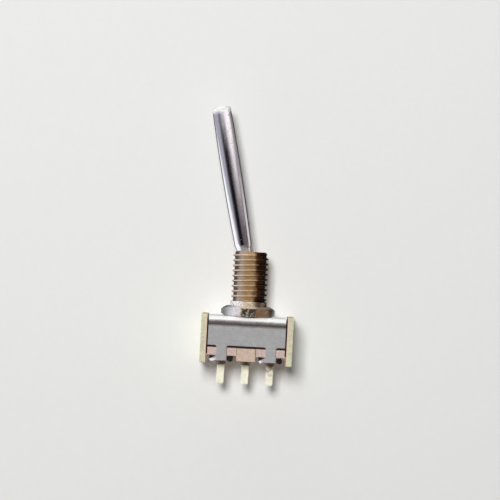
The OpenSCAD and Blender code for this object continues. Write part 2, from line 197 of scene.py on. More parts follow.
class ToggleFinishColours(bpy.types.PropertyGroup):
    """Colours of the switch's finishes"""

    chrome: colour("Chrome", "Plated lever", 0.80, 0.79, 0.82)
    brass: colour("Brass", "Worn crests of the bushing", 0.76, 0.56, 0.33)
    brass_dark: colour("Tarnish", "Tarnish in the thread", 0.40, 0.25, 0.12)
    nut: colour("Nut", "Plating of the nut", 0.90, 0.86, 0.91)
    bracket: colour("Bracket", "Rolled steel of the bracket", 0.66, 0.655, 0.655)
    case: colour("Case", "Moulded case", 0.62, 0.48, 0.43)
    # The green tint of the end plates is painted reflection; their paler tone is their own
    case_pale: colour("Case ends", "Paler end plates of the case", 0.64, 0.66, 0.43)
    boss: colour("Boss", "Boss in the middle of the case", 0.62, 0.47, 0.36)
    tin: colour("Tin", "Tinned blades", 0.94, 0.92, 0.74)
    flux: colour("Flux", "Flux stains on the blades", 0.16, 0.08, 0.03)
    resin: colour("Resin", "Sealing resin", 0.17, 0.12, 0.075)
    nylon: colour("Nylon", "Plunger", 0.78, 0.74, 0.64)
    spring: colour("Spring", "Spring wire", 0.42, 0.41, 0.40)
    pin: colour("Pin", "Cross pin", 0.55, 0.54, 0.53)
    silver: colour("Silver", "Contact buttons", 0.86, 0.85, 0.82)
    copper: colour("Copper", "Rocking arm", 0.68, 0.36, 0.22)


class ToggleStageSettings(bpy.types.PropertyGroup):
    """Card, lamps and camera"""

    card: colour("Card", "Pale card that the switch lies on", 0.80, 0.80, 0.785)
    card_size: length("Card size", "Width of the card", 1200.0)
    card_gap: length("Card gap", "Gap between the switch and the card", 0.02)
    backdrop: amount("Backdrop", "Brightness of the plain backdrop", 0.86)
    studio: amount("Studio light", "Strength of what polished metal reflects", 1.0)
    ambient: amount("Ambient light", "Strength of the soft light on dull surfaces", 0.08)
    lamp_size: length("Lamp size", "Width of each lamp", 200.0)
    lamp_power: amount("Lamp power", "Power of the main lamp in watts", 3.95)
    fill_power: amount("Fill power", "Power of the lamp behind in watts", 1.6)
    side_power: amount("Side power", "Power of the lamps at the left and below in watts", 1.8)
    lens: amount("Lens", "Focal length in millimetres", 135.0)
    frame_w: length("Frame", "Width of the picture at the middle of the switch", 88.18)
    middle: length("Middle", "How far the middle of the switch lies before its axis", 2.2)
    centre_x: amount("Centre across", "Centre of the picture in millimetres", -0.227)
    centre_z: amount("Centre up", "Height of the picture's centre in millimetres", 9.979)
    roll: turn_of("Roll", "Roll of the camera", 3.0)


class ToggleSwitchSettings(bpy.types.PropertyGroup):
    """All settings of the switch"""

    lever: PointerProperty(type=ToggleLeverSizes)
    thread: PointerProperty(type=ToggleThreadSizes)
    nut: PointerProperty(type=ToggleNutSizes)
    spring: PointerProperty(type=ToggleSpringSizes)
    edges: PointerProperty(type=ToggleEdgeSizes)
    colours: PointerProperty(type=ToggleFinishColours)
    stage: PointerProperty(type=ToggleStageSettings)


# ---------------------------------------------------------------- node trees

class Value:
    """A number in a node tree: a sum on it adds the node that works it out."""

    def __init__(self, nodes, socket):
        self.nodes = nodes
        self.socket = socket

    def __add__(self, other):
        return self.nodes.math("ADD", self, other)

    def __sub__(self, other):
        return self.nodes.math("SUBTRACT", self, other)

    def __rsub__(self, other):
        return self.nodes.math("SUBTRACT", other, self)

    def __mul__(self, other):
        return self.nodes.math("MULTIPLY", self, other)

    def __truediv__(self, other):
        return self.nodes.math("DIVIDE", self, other)

    def __abs__(self):
        return self.nodes.math("ABSOLUTE", self)


class Nodes:
    """Short ways to add the nodes of one tree."""

    def __init__(self, tree, place=None):
        self.tree = tree
        self.place = place

    def add(self, kind, **settings):
        """A new node with the given settings."""
        node = self.tree.nodes.new(kind)
        for key, value in settings.items():
            setattr(node, key, value)
        return node

    def put(self, socket, value):
        """Links a socket, or sets its own value."""
        if isinstance(value, Value):
            value = value.socket
        if isinstance(value, bpy.types.NodeSocket):
            self.tree.links.new(value, socket)
        elif value is not None:
            if socket.type == "RGBA" and len(value) == 3:
                value = (*value, 1.0)
            socket.default_value = value

    def math(self, operation, first, second=None):
        """One sum on numbers."""
        node = self.add("ShaderNodeMath", operation=operation)
        for socket, value in zip(node.inputs, (first, second)):
            self.put(socket, value)
        return Value(self, node.outputs[0])

    def larger(self, first, second):
        """The larger of two numbers."""
        return self.math("MAXIMUM", first, second)

    def smaller(self, first, second):
        """The smaller of two numbers."""
        return self.math("MINIMUM", first, second)

    def span(self, value, low, high, to_low=0.0, to_high=1.0, smooth=True):
        """Maps low..high to to_low..to_high, held at both ends."""
        node = self.add("ShaderNodeMapRange")
        node.interpolation_type = "SMOOTHSTEP" if smooth else "LINEAR"
        for name, number in (
            ("Value", value), ("From Min", low), ("From Max", high),
            ("To Min", to_low), ("To Max", to_high),
        ):
            self.put(node.inputs[name], number)
        return Value(self, node.outputs[0])

    def plateau(self, value, steps):
        """0 to 1 over the first two steps, and back to 0 over the last two."""
        rise, full, fade, end = steps
        return self.span(value, rise, full) * self.span(value, fade, end, 1.0, 0.0)

    def window(self, value, centre, half, edge):
        """1 within half of the centre, falling to 0 over the edge."""
        return self.span(abs(value - centre), half, half + edge, 1.0, 0.0)

    def mix(self, factor, first, second):
        """Mixes two colours."""
        node = self.add("ShaderNodeMix", data_type="RGBA")
        self.put(node.inputs[0], factor)
        self.put(node.inputs[6], first)
        self.put(node.inputs[7], second)
        return node.outputs[2]

    def coated(self, shade, *coats):
        """A colour with coats laid over it, each given as its share and its colour."""
        for share, coat in coats:
            shade = self.mix(share, shade, coat)
        return shade

    def noise(self, scale, detail=3.0, rough=0.55, warp=0.0, vector=None):
        """Cloudy noise around 0.5."""
        node = self.add("ShaderNodeTexNoise")
        self.put(node.inputs["Vector"], vector or self.place)
        node.inputs["Scale"].default_value = scale
        node.inputs["Detail"].default_value = detail
        node.inputs["Roughness"].default_value = rough
        node.inputs["Distortion"].default_value = warp
        return Value(self, node.outputs["Fac"])

    def streaks(self, scale, detail=3.0, rough=0.55, turn=(0.0, 0.0, 0.0)):
        """Noise with its own scale along each axis, so that it runs in streaks."""
        node = self.add("ShaderNodeMapping")
        self.put(node.inputs["Vector"], self.place)
        node.inputs["Rotation"].default_value = turn
        node.inputs["Scale"].default_value = scale
        return self.noise(1.0, detail, rough, vector=node.outputs[0])

    def axes(self, vector=None):
        """The three parts of a vector."""
        node = self.add("ShaderNodeSeparateXYZ")
        self.put(node.inputs[0], vector or self.place)
        return [Value(self, part) for part in node.outputs]

    def around(self, east, north):
        """Angle in degrees round the upright axis, from the front to the right."""
        return self.math("DEGREES", self.math("ARCTAN2", east, north * -1.0))

    def placed(self, geometry, radius, angle, up):
        """Moves each point of a geometry to its radius and angle round Z and its height."""
        point = self.add("ShaderNodeCombineXYZ")
        self.put(point.inputs[0], radius * self.math("COSINE", angle))
        self.put(point.inputs[1], radius * self.math("SINE", angle))
        self.put(point.inputs[2], up)
        moved = self.add("GeometryNodeSetPosition")
        self.put(moved.inputs["Geometry"], geometry)
        self.put(moved.inputs["Position"], point.outputs[0])
        return moved.outputs[0]

    def bumps(self, *layers):
        """Bumps laid over each other, each a height from 0 to 1 and its depth in microns."""
        normal = None
        for height, depth in layers:
            node = self.add("ShaderNodeBump")
            self.put(node.inputs["Height"], height)
            node.inputs["Distance"].default_value = depth * MICRON
            node.inputs["Strength"].default_value = 1.0
            self.put(node.inputs["Normal"], normal)
            normal = node.outputs[0]
        return normal

    def shaders(self, share, first, second):
        """Mixes two shader nodes."""
        node = self.add("ShaderNodeMixShader")
        self.put(node.inputs[0], share)
        self.put(node.inputs[1], first.outputs[0])
        self.put(node.inputs[2], second.outputs[0])
        return node

    def show(self, shader):
        """Sets the shader node that the material or world shows."""
        ends = ("ShaderNodeOutputMaterial", "ShaderNodeOutputWorld")
        end = next(node for node in self.tree.nodes if node.bl_idname in ends)
        self.put(end.inputs["Surface"], shader.outputs[0])


def finish_named(name, **constants):
    """A new material: its nodes, and its surface with its constant values set."""
    material = bpy.data.materials.new(name)
    material.use_nodes = True
    made = Nodes(material.node_tree)
    made.material = material
    made.surface = material.node_tree.nodes["Principled BSDF"]
    for socket, value in constants.items():
        made.surface.inputs[socket.replace("_", " ")].default_value = value
    made.place = made.add("ShaderNodeTexCoord").outputs["Object"]
    return made


def dressed(made, base, roughness, layers, metallic=0.0):
    """Links what varies over the surface, and gives the material."""
    made.put(made.surface.inputs["Base Color"], base)
    made.put(made.surface.inputs["Roughness"], roughness)
    made.put(made.surface.inputs["Normal"], made.bumps(*layers))
    made.put(made.surface.inputs["Metallic"], metallic)
    return made.material


def dimmed(shade, share):
    """The same colour with this share of its light."""
    return [share * part for part in shade]


# ---------------------------------------------------------------- finishes

RIGHT_PINK_SHEEN, SCUFFED, TIP_HIGHLIGHT = (0.80, 0.72, 0.74), (0.86, 0.80, 0.76), (0.95, 0.95, 0.95)


def chrome_finish(base, lean, pivot, neck_end, reach):
    """Bright plating with lengthwise wear; dull on the neck, painted pink reflection on the right,
    painted white highlight on the tip.
    """
    made = finish_named("lever_chrome")
    east, _, up = made.axes()
    risen = up - pivot
    along = risen * math.cos(lean) - east * math.sin(lean)
    aside = east * math.cos(lean) + risen * math.sin(lean)
    level = (0.0, -lean, 0.0)
    lines = made.streaks((2600.0, 2600.0, 90.0), 4.0, 0.6, level)
    wear = made.streaks((3200.0, 3200.0, 900.0), 5.0, 0.7, level)
    waves = made.noise(420.0, 2.0)
    pits = made.span(made.noise(2400.0, 2.0, 0.4), 0.70, 0.76)
    haze = made.noise(260.0)
    drift = haze - 0.5
    # Painted highlight: the tip is near white and mostly dull
    tip = made.span(along + drift * (1.6 * MM), reach - 1.4 * MM, reach - 0.4 * MM)
    neck = made.span(along, neck_end - 0.7 * MM, neck_end + 0.1 * MM, 1.0, 0.0)
    # Painted reflection: the right half of the bat is tinted pink, with lighter scuffs of wear in
    # it
    rubbed = made.span(aside + drift * (1.2 * MM), -0.1 * MM, 0.5 * MM)
    scuffed = rubbed * made.span(wear, 0.50, 0.68)
    tone = made.coated(
        base,
        (made.span(haze, 0.45, 0.75, 0.0, 0.35), dimmed(base, 0.9)),
        (rubbed * 0.7, RIGHT_PINK_SHEEN), (scuffed * 0.6, SCUFFED), (tip, TIP_HIGHLIGHT),
        (pits, dimmed(base, 0.45)),
    )
    rough = made.span(lines, 0.35, 0.75, 0.05, 0.12) + made.span(haze, 0.4, 0.8, 0.0, 0.05)
    rough = rough + pits * 0.3 + scuffed * 0.16 + made.larger(tip, neck) * 0.10
    dull = made.larger(tip * 0.75, neck * 0.30)
    return dressed(made, tone, rough, ((waves, 6), (lines, 1), (1.0 - pits, 8)), 1.0 - dull)


# Where the painted light and shade and the darkened flats of the bushing and the nut fade in,
# are full, start to fade and have faded out, as angles in degrees from the front to the right
LEFT_SHEEN_SIDE = (-130, -105, -32, -12)
SHADED_VALLEY_SIDE = (-105, -85, -58, -38)
BROWN_SHADE_SIDE = (8, 32, 85, 120)
BLACK_SHADE_SIDE = (30, 54, 72, 96)
DARKENED_FLATS = (-20, -13, 78, 98)
BROWN_SHADE_FLATS = (12, 26, 78, 98)
CREAM_HIGHLIGHT_EDGE = (-26, -14, 30, 50)
SHADED_FLAT = (42, 62, 72, 90)
SHADED_CORNER = (-100, -74, -70, -38)
# How far in degrees the cloudy noise moves those edges
BRASS_DRIFT, NUT_DRIFT = 44.0, 16.0

BARE_COLLAR, LEFT_COLLAR_SHEEN = (0.86, 0.76, 0.60), (0.95, 0.93, 0.96)
LEFT_SHEEN_ROOT, LEFT_SHEEN_CREST = (0.42, 0.34, 0.29), (0.78, 0.68, 0.60)
COLLAR_PIT, VALLEY_SHADE = (0.28, 0.19, 0.11), (0.035, 0.022, 0.016)
BROWN_SHADE, BLACK_SHADE = (0.13, 0.036, 0.010), (0.008, 0.003, 0.002)


def brass_finish(bright, dark, root, crest, collar):
    """Turned brass, tarnished in its hollows; painted reflection on the left, painted shade on the
    right.
    """
    made = finish_named("bushing_brass")
    east, north, up = made.axes()
    flat = made.add("ShaderNodeVectorMath", operation="MULTIPLY")
    made.put(flat.inputs[0], made.place)
    flat.inputs[1].default_value = (1.0, 1.0, 0.0)
    radius = made.add("ShaderNodeVectorMath", operation="LENGTH")
    made.put(radius.inputs[0], flat.outputs[0])
    out = made.span(radius.outputs["Value"], root, crest)
    cloud = made.noise(700.0, 4.0, 0.6)
    grain = made.noise(5200.0, 3.0, 0.6)
    pitted = made.noise(3200.0, 3.0, 0.65)
    drift = made.around(east, north) + (cloud - 0.5) * BRASS_DRIFT
    # Painted reflection: a silvery left side, pale on the crests and on the collar
    nickel = made.plateau(drift, LEFT_SHEEN_SIDE)
    # Painted shade: brownish, then near black, on the right side
    brown = made.plateau(drift, BROWN_SHADE_SIDE)
    black = made.plateau(drift, BLACK_SHADE_SIDE)
    on_collar = made.span(up, collar - 0.1 * MM, collar + 0.1 * MM, 1.0, 0.0)
    # Painted shade darkens the valleys on the left side
    in_valley = made.span(out, 0.15, 0.75, 1.0, 0.0) * (1.0 - on_collar)
    bared = on_collar * made.span(pitted, 0.46, 0.60, 0.25, 0.9)
    kept = 1.0 - bared * 0.75
    fade = out + made.span(cloud, 0.3, 0.7, -0.3, 0.3)
    tone = made.coated(
        dark,
        (made.span(fade, 0.0, 0.9), bright), (on_collar * 0.7, BARE_COLLAR),
        (nickel * 0.85, made.mix(made.span(out, 0.55, 0.95), LEFT_SHEEN_ROOT, LEFT_SHEEN_CREST)),
        (nickel * on_collar * 0.9, LEFT_COLLAR_SHEEN),
        (on_collar * made.span(pitted, 0.52, 0.64, 0.0, 0.8), COLLAR_PIT),
        (made.plateau(drift, SHADED_VALLEY_SIDE) * in_valley * 0.9, VALLEY_SHADE),
        (brown * made.span(out, 0.6, 1.0, 1.0, 0.85) * kept, BROWN_SHADE),
        (black * made.span(out, 0.6, 1.0, 1.0, 0.80) * kept, BLACK_SHADE),
    )
    tone = made.coated(tone, (made.span(grain, 0.58, 0.78, 0.0, 0.4), dark), (black, tone))
    rough = made.span(out, 0.0, 1.0, 0.42, 0.26) + made.span(grain, 0.4, 0.7, -0.04, 0.08)
    metal = made.larger(brown, black) * 0.6 + 0.35
    turned = made.streaks((300.0, 300.0, 16000.0))
    return dressed(made, tone, rough, ((grain, 7), (turned, 3)), metal)


BROWN_STAIN, CORNER_SHADE = (0.42, 0.30, 0.20), (0.09, 0.12, 0.10)
CREAM_HIGHLIGHT, NUT_BROWN_SHADE = (0.86, 0.74, 0.55), (0.30, 0.20, 0.14)
FLATS_BLACK, FLATS_BROWN = (0.035, 0.026, 0.016), (0.30, 0.173, 0.096)
GLINT, FLAT_SHADE = (0.66, 0.56, 0.42), (0.035, 0.030, 0.012)


def nut_finish(base, edge):
    """Bright nickel with handling marks; darkened, specked front flats; painted shade and a
    highlight.
    """
    made = finish_named("nut_nickel")
    east, north, up = made.axes()
    around = made.around(east, north)
    cloud = made.noise(900.0, 4.0, 0.6, warp=0.4)
    grain = made.noise(2400.0, 3.0, 0.65)
    fine = made.noise(5200.0, 2.0)
    drift = around + (cloud - 0.5) * NUT_DRIFT
    below = made.span(up, -edge - 0.1 * MM, -edge + 0.1 * MM, 1.0, 0.0)
    # Below the top edge the front and right flats are darkened to brownish black with lighter
    # specks
    darkened = made.plateau(drift, DARKENED_FLATS) * below
    # Painted shade: the right side turns brown, on the darkened flats and above them
    right_shade = made.plateau(drift, BROWN_SHADE_FLATS)
    glints = made.span(grain, 0.52, 0.62) * made.span(right_shade, 0.0, 1.0, 0.9, 0.25)
    dirt = made.coated(
        FLATS_BLACK,
        (right_shade, FLATS_BROWN), (glints, GLINT),
        # Painted shade on the flat at the right
        (made.plateau(around, SHADED_FLAT) * 0.75, FLAT_SHADE),
    )
    tone = made.coated(
        base,
        (made.span(cloud, 0.56, 0.70, 0.0, 0.5), BROWN_STAIN),
        (made.span(grain, 0.38, 0.66, 0.25, 0.85), dimmed(base, 0.62)),
        # Painted shade, greenish black, on the rounded corner at the left
        (made.plateau(around, SHADED_CORNER) * 0.85, CORNER_SHADE),
        # Painted highlight: a pale yellow band along the front of the top edge
        (made.plateau(drift, CREAM_HIGHLIGHT_EDGE) * 0.8, CREAM_HIGHLIGHT),
        (right_shade * 0.85, NUT_BROWN_SHADE), (darkened * 0.95, dirt),
    )
    rough = made.span(cloud, 0.3, 0.7, 0.08, 0.18) + made.span(fine, 0.4, 0.7, -0.02, 0.04)
    marks = made.streaks((500.0, 500.0, 9000.0))
    layers = ((cloud, 15), (marks, 0.4))
    return dressed(made, tone, rough + darkened * 0.2, layers, darkened * 0.2 + 0.35)


BROWN_SPECK, BEND_SHADE, LIT_BEND = (0.26, 0.20, 0.15), (0.115, 0.088, 0.075), (0.93, 0.93, 0.91)
WING_SHADE, GREY_WING, LIT_WING = (0.022, 0.009, 0.007), (0.44, 0.42, 0.46), (0.95, 0.95, 0.96)
DARK_BAND = (1.44, 0.98, 0.92, 0.42)


def bracket_finish(base, top, bend, foot, tab_x, tab_half):
    """Cold rolled steel: satin faces, scuffs, painted shade and highlight on the bend and on the
    wings.
    """
    made = finish_named("bracket_steel")
    east, _, up = made.axes()
    grain = made.streaks((160.0, 3800.0, 3800.0), 5.0, 0.65)
    scuffs = made.streaks((5200.0, 900.0, 420.0), 3.0, 0.6, (0.0, 0.5, 0.2))
    cloud = made.noise(330.0, 4.0, 0.6)
    blotch = made.noise(1500.0, 3.0, 0.6)
    specks = made.span(made.noise(3600.0, 2.0), 0.66, 0.74)
    wavy = up + (cloud - 0.5) * (0.3 * MM)
    # Painted shade: a dark band down the bend; painted highlight: a bright crown on the bend above
    # it
    shoulder = made.plateau(wavy, [top - share * bend for share in DARK_BAND])
    crown = made.span(wavy, top - 0.60 * bend, top - 0.36 * bend)

    # Wings: painted shade, near black, to the right of each tab; to its left grey metal with a
    # painted highlight at its far, lower end and a painted shadow in its upper corner
    from_tab = east - made.math("SIGN", east) * tab_x
    from_stem = from_tab + tab_half
    low = made.span(up, foot - 0.1 * MM, foot + 0.1 * MM, 1.0, 0.0)
    # Painted shade, near black, on the wing to the right of each tab
    flux = made.span(from_tab, tab_half, tab_half + 0.2 * MM) * low * 0.92
    left_wing = made.span(from_stem, -0.2 * MM, 0.0, 1.0, 0.0) * low
    far = made.larger(
        made.span(from_stem, -1.0 * MM, -0.4 * MM, 1.0, 0.0), made.span(east, 0.0, MM, 1.0, 0.0),
    )
    lit = far * made.span(up, foot - 0.7 * MM, foot - 0.4 * MM, 1.0, 0.0)
    slope = made.smaller(from_stem, 0.0) * -0.55 + up
    corner = made.span(slope, foot - 0.1 * MM, foot)
    wing = made.coated(GREY_WING, (lit, LIT_WING), (corner, WING_SHADE))
    tone = made.coated(
        base,
        (made.span(cloud, 0.35, 0.75, 0.0, 0.5), dimmed(base, 0.86)),
        (made.span(grain, 0.35, 0.7, 0.0, 0.45), dimmed(base, 0.76)),
        (made.span(blotch, 0.35, 0.65, 0.0, 0.40), dimmed(base, 0.74)),
        (specks * 0.4, BROWN_SPECK), (shoulder * 0.97, BEND_SHADE), (crown, LIT_BEND),
        (flux, WING_SHADE), (left_wing, wing),
    )
    scored = made.span(scuffs, 0.60, 0.72)
    rough = made.span(grain, 0.3, 0.7, 0.30, 0.42) + made.span(cloud, 0.3, 0.7, -0.05, 0.06)
    rough = rough - scored * 0.06 - shoulder * 0.12
    metal = made.larger(0.45 - crown * 0.45 - left_wing * 0.4, flux)
    return dressed(made, tone, rough, ((grain, 4), (cloud, 8), (scored, 2.5)), metal)


SPOT, BRIGHT_SPOT, SEAM = (0.34, 0.25, 0.18), (0.90, 0.84, 0.74), (0.20, 0.12, 0.08)
PINK_EDGE, CASE_SHADE, FINE_SPOT = (0.80, 0.55, 0.45), (0.035, 0.014, 0.012), (0.36, 0.26, 0.19)


def case_finish(base, pale, boss, plate_x, boss_x, window_top, shadow_z):
    """Moulded plastic, mottled, paler in its end plates, with painted shade along the bracket and
    plates.
    """
    made = finish_named("case_plastic", IOR=1.5)
    east, _, up = made.axes()
    out = abs(east)
    cloud = made.noise(450.0, 4.0)
    fine = made.noise(4200.0, 3.0, 0.6)
    mottle = made.noise(2300.0, 3.0, 0.65)
    ends = made.span(out, plate_x - 0.08 * MM, plate_x + 0.08 * MM)
    above = made.span(up, window_top - 0.1 * MM, window_top + 0.1 * MM)
    seam = made.window(out, boss_x + 0.04 * MM, 0.04 * MM, 0.05 * MM) * above
    flush = made.window(out, plate_x + 0.16 * MM, 0.14 * MM, 0.10 * MM)
    # Painted shade: dark in the gaps beside the end plates and in a line just under the bracket's
    # lower edge
    beside = made.window(out, plate_x - 0.12 * MM, 0.11 * MM, 0.04 * MM) * above
    under = made.window(up, shadow_z, 0.18 * MM, 0.12 * MM) * (1.0 - ends)
    tone = made.coated(
        base,
        (ends, pale), (made.span(out, boss_x, boss_x + 0.05 * MM, 1.0, 0.0), boss),
        (made.span(cloud, 0.3, 0.75, 0.0, 0.55), dimmed(base, 0.80)),
        (made.span(mottle, 0.50, 0.68, 0.0, 0.28), SPOT),
        (made.span(mottle, 0.32, 0.50, 0.22, 0.0), BRIGHT_SPOT),
        (seam * 0.6, SEAM), (flush * 0.55, PINK_EDGE), (made.larger(beside, under), CASE_SHADE),
        (made.span(fine, 0.62, 0.78, 0.0, 0.35), FINE_SPOT),
    )
    rough = made.span(cloud, 0.3, 0.7, 0.36, 0.48) + made.span(fine, 0.4, 0.7, -0.03, 0.05)
    return dressed(made, tone, rough, ((fine, 10), (cloud, 30)))


def tin_finish(base, stain, stain_place):
    """Hot tinned metal: soft lumps, dull patches and brown flux at one stained place."""
    made = finish_named("pin_tin")
    lumps = made.noise(900.0, 2.0, warp=0.3)
    fine = made.noise(5200.0, 3.0, 0.6)
    patch = made.noise(1300.0, 3.0, 0.5)
    away = made.add("ShaderNodeVectorMath", operation="DISTANCE")
    made.put(away.inputs[0], made.place)
    away.inputs[1].default_value = stain_place
    near = made.span(away.outputs["Value"], 0.3 * MM, 1.6 * MM, 0.30, 0.0)
    dirt = made.span(patch + near, 0.60, 0.95, 0.0, 0.75)
    patches = made.span(lumps, 0.35, 0.7, 0.0, 0.6)
    tone = made.coated(base, (patches, dimmed(base, 0.80)), (dirt, stain))
    rough = made.span(lumps, 0.3, 0.7, 0.26, 0.42) + dirt * 0.2
    return dressed(made, tone, rough, ((lumps, 60), (fine, 6)))


def resin_finish(base):
    """Brown sealing resin with a glossy skin and small bubbles."""
    made = finish_named("seal_resin", IOR=1.52, Coat_Weight=0.35)
    cloud = made.noise(1300.0)
    bubbles = made.add("ShaderNodeTexVoronoi")
    made.put(bubbles.inputs["Vector"], made.place)
    bubbles.inputs["Scale"].default_value = 3600.0
    skin = made.span(bubbles.outputs["Distance"], 0.12, 0.30)
    tone = made.mix(made.span(cloud, 0.35, 0.7), base, dimmed(base, 2.1))
    rough = made.span(cloud, 0.3, 0.7, 0.22, 0.45)
    return dressed(made, tone, rough, ((cloud, 50), (skin, 8)))


def plain_metal_finish(name, base, low_rough, high_rough, tarnish):
    """Drawn or stamped metal with a fine grain and light tarnish."""
    made = finish_named(name)
    cloud = made.noise(1500.0)
    grain = made.noise(8000.0, 3.0, 0.6)
    tone = made.mix(made.span(cloud, 0.4, 0.75, 0.0, 0.6), base, tarnish)
    rough = made.span(grain, 0.3, 0.7, low_rough, high_rough)
    return dressed(made, tone, rough, ((grain, 3),), 1.0)


def nylon_finish(base):
    """Waxy moulded nylon, a little rubbed."""
    made = finish_named("plunger_nylon", IOR=1.53, Subsurface_Weight=0.15, Subsurface_Scale=0.0006)
    made.surface.inputs["Subsurface Radius"].default_value = (1.0, 0.8, 0.6)
    cloud = made.noise(1800.0)
    tone = made.mix(made.span(cloud, 0.4, 0.7, 0.0, 0.4), base, dimmed(base, 0.82))
    return dressed(made, tone, made.span(cloud, 0.3, 0.7, 0.32, 0.5), ((cloud, 5),))


# ---------------------------------------------------------------- meshes

# Angles in degrees above which an edge stays sharp or is rounded, and within which two
# faces count as one flat face
SHARP, THREAD_SHARP, NUT_SHARP, ROUNDED_SHARP = 28.0, 34.0, 24.0, 40.0
FLAT_WITHIN = 0.5

# Steps of the turned and cut outlines, and of the nut's rounded corners and its sides
BALL_STEPS, NECK_STEPS, BAT_STEPS, TIP_STEPS = 32, 8, 72, 10
HOLE_STEPS, SEAT_STEPS, ARCH_STEPS = 32, 10, 12
CORNER_STEPS, SIDE_STEPS = 6, 12


def round_steps(first, last, steps):
    """Evenly spaced numbers from the first to the last, with both ends."""
    return [first + (last - first) * k / steps for k in range(steps + 1)]


def arc(radius, first, last, steps, across=0.0, up=0.0):
    """Points of an arc about (across, up), from its first angle to its last."""
    return [
        (across + radius * math.cos(a), up + radius * math.sin(a))
        for a in round_steps(first, last, steps)
    ]


def piece_from(name, mesh):
    """A new object with this mesh, at the origin."""
    piece = bpy.data.objects.new(name, mesh)
    bpy.context.scene.collection.objects.link(piece)
    return piece


def join_rings(shape, low, high):
    """Faces between two rings of corners, either of which may be a single pole."""
    steps = max(len(low), len(high))
    for k in range(steps):
        n = (k + 1) % steps
        corners = [
            low[k % len(low)], low[n % len(low)], high[n % len(high)], high[k % len(high)],
        ]
        shape.faces.new(list(dict.fromkeys(corners)))


def turned_shape(outline, steps, shape=None):
    """Outline (radius, height) turned round Z; a radius of 0 makes a pole."""
    shape = shape or bmesh.new()
    rings = []
    for radius, height in outline:
        around = arc(radius, 0.0, 2.0 * math.pi, steps)[:-1] if radius else [(0.0, 0.0)]
        rings.append([shape.verts.new((x, y, height)) for x, y in around])
    for low, high in zip(rings, rings[1:]):
        join_rings(shape, low, high)
    return shape


def mesh_of(shape, name, place=None):
    """A plain mesh of this shape, welded, with its faces outwards, at its place."""
    bmesh.ops.remove_doubles(shape, verts=shape.verts, dist=WELD)
    bmesh.ops.recalc_face_normals(shape, faces=shape.faces)
    open_edges = [edge for edge in shape.edges if not edge.is_manifold]
    if open_edges:
        raise RuntimeError(f"{name} has {len(open_edges)} open edges")
    mesh = bpy.data.meshes.new(name)
    shape.to_mesh(mesh)
    shape.free()
    if place is not None:
        mesh.transform(place)
    return mesh


def smoothed(mesh, degrees=32.0):
    """Smooth shading, with edges sharper than this left sharp."""
    mesh.shade_smooth()
    mesh.set_sharp_from_angle(angle=math.radians(degrees))


def applied(piece):
    """Replaces a piece's modifiers by the plain mesh that they make."""
    shown = piece.evaluated_get(bpy.context.evaluated_depsgraph_get())
    mesh = bpy.data.meshes.new_from_object(shown)
    old = piece.data
    piece.modifiers.clear()
    piece.data = mesh
    mesh.name = piece.name
    if old.users == 0:
        bpy.data.meshes.remove(old)
    return piece


def cut_from(piece, cutter):
    """Cuts one shape out of a piece and removes the cutter."""
    cut = piece.modifiers.new("cut", "BOOLEAN")
    cut.operation = "DIFFERENCE"
    cut.solver = "EXACT"
    cut.object = cutter
    applied(piece)
    bpy.data.objects.remove(cutter)


def rounded(piece, width, segments, degrees):
    """Rounds a piece's sharp edges and weights its normals, so that flat faces stay flat."""
    edge = piece.modifiers.new("edges", "BEVEL")
    edge.width = width
    edge.segments = segments
    edge.limit_method = "ANGLE"
    edge.angle_limit = math.radians(degrees)
    edge.use_clamp_overlap = True
    edge.miter_outer = "MITER_ARC"
    edge.harden_normals = False
    applied(piece)
    smoothed(piece.data, ROUNDED_SHARP)
    weigh = piece.modifiers.new("normals", "WEIGHTED_NORMAL")
    weigh.keep_sharp = True
    applied(piece)


def seated(piece, body, slot, material, *nodes):
    """Gives a piece its finish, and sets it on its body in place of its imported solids."""
    piece.data.materials.clear()
    piece.data.materials.append(material)
    if nodes:
        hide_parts(*nodes)
    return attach(piece, body)


def finish_node(node, body, slot, material, width, segments=2, degrees=30.0):
    """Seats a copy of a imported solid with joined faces, rounded edges and its finish."""
    shape = bmesh.new()
    shape.from_mesh(frame["nodes"][node].data)
    bmesh.ops.remove_doubles(shape, verts=shape.verts, dist=WELD)
    bmesh.ops.dissolve_limit(
        shape, angle_limit=math.radians(FLAT_WITHIN), verts=shape.verts, edges=shape.edges,
    )
    mesh = bpy.data.meshes.new(node + "_finished")
    shape.to_mesh(mesh)
    shape.free()
    mesh.materials.clear()
    piece = piece_from(node + "_finished", mesh)
    if width > 0.0:
        rounded(piece, width, segments, degrees)
    else:
        smoothed(mesh)
    seated(piece, body, slot, material, node)


def lever_place():
    """Place of the lever's own frame: the pivot, leaning to the left by half its swing."""
    joint = next(j for j in frame["joints"] if j["name"] == "lever_tilt")
    lean = math.radians(sum(joint["range_deg"]) / 2.0)
    return Matrix.Translation(joint["pos_m"]) @ Matrix.Rotation(-lean, 4, "Y"), lean


# ---------------------------------------------------------------- geometry nodes

def new_tree(name, inputs):
    """A geometry tree with an input for each of these values, and what the inputs give."""
    tree = bpy.data.node_groups.new(name, "GeometryNodeTree")
    face = tree.interface
    face.new_socket("Geometry", in_out="INPUT", socket_type="NodeSocketGeometry")
    for label, value in inputs.items():
        kind = {float: "Float", int: "Int"}.get(type(value), "Material")
        face.new_socket(label, in_out="INPUT", socket_type="NodeSocket" + kind)
    face.new_socket("Geometry", in_out="OUTPUT", socket_type="NodeSocketGeometry")
    made = Nodes(tree)
    outputs = made.add("NodeGroupInput").outputs
    return made, {label: Value(made, outputs[label]) for label in inputs}


def end_tree(made, geometry, material):
    """Ends a tree in Realize Instances and Set Material, and gives it."""
    real = made.add("GeometryNodeRealizeInstances")
    made.put(real.inputs[0], geometry)
    coat = made.add("GeometryNodeSetMaterial")
    made.put(coat.inputs["Geometry"], real.outputs[0])
    made.put(coat.inputs["Material"], material)
    made.put(made.add("NodeGroupOutput").inputs[0], coat.outputs[0])
    return made.tree


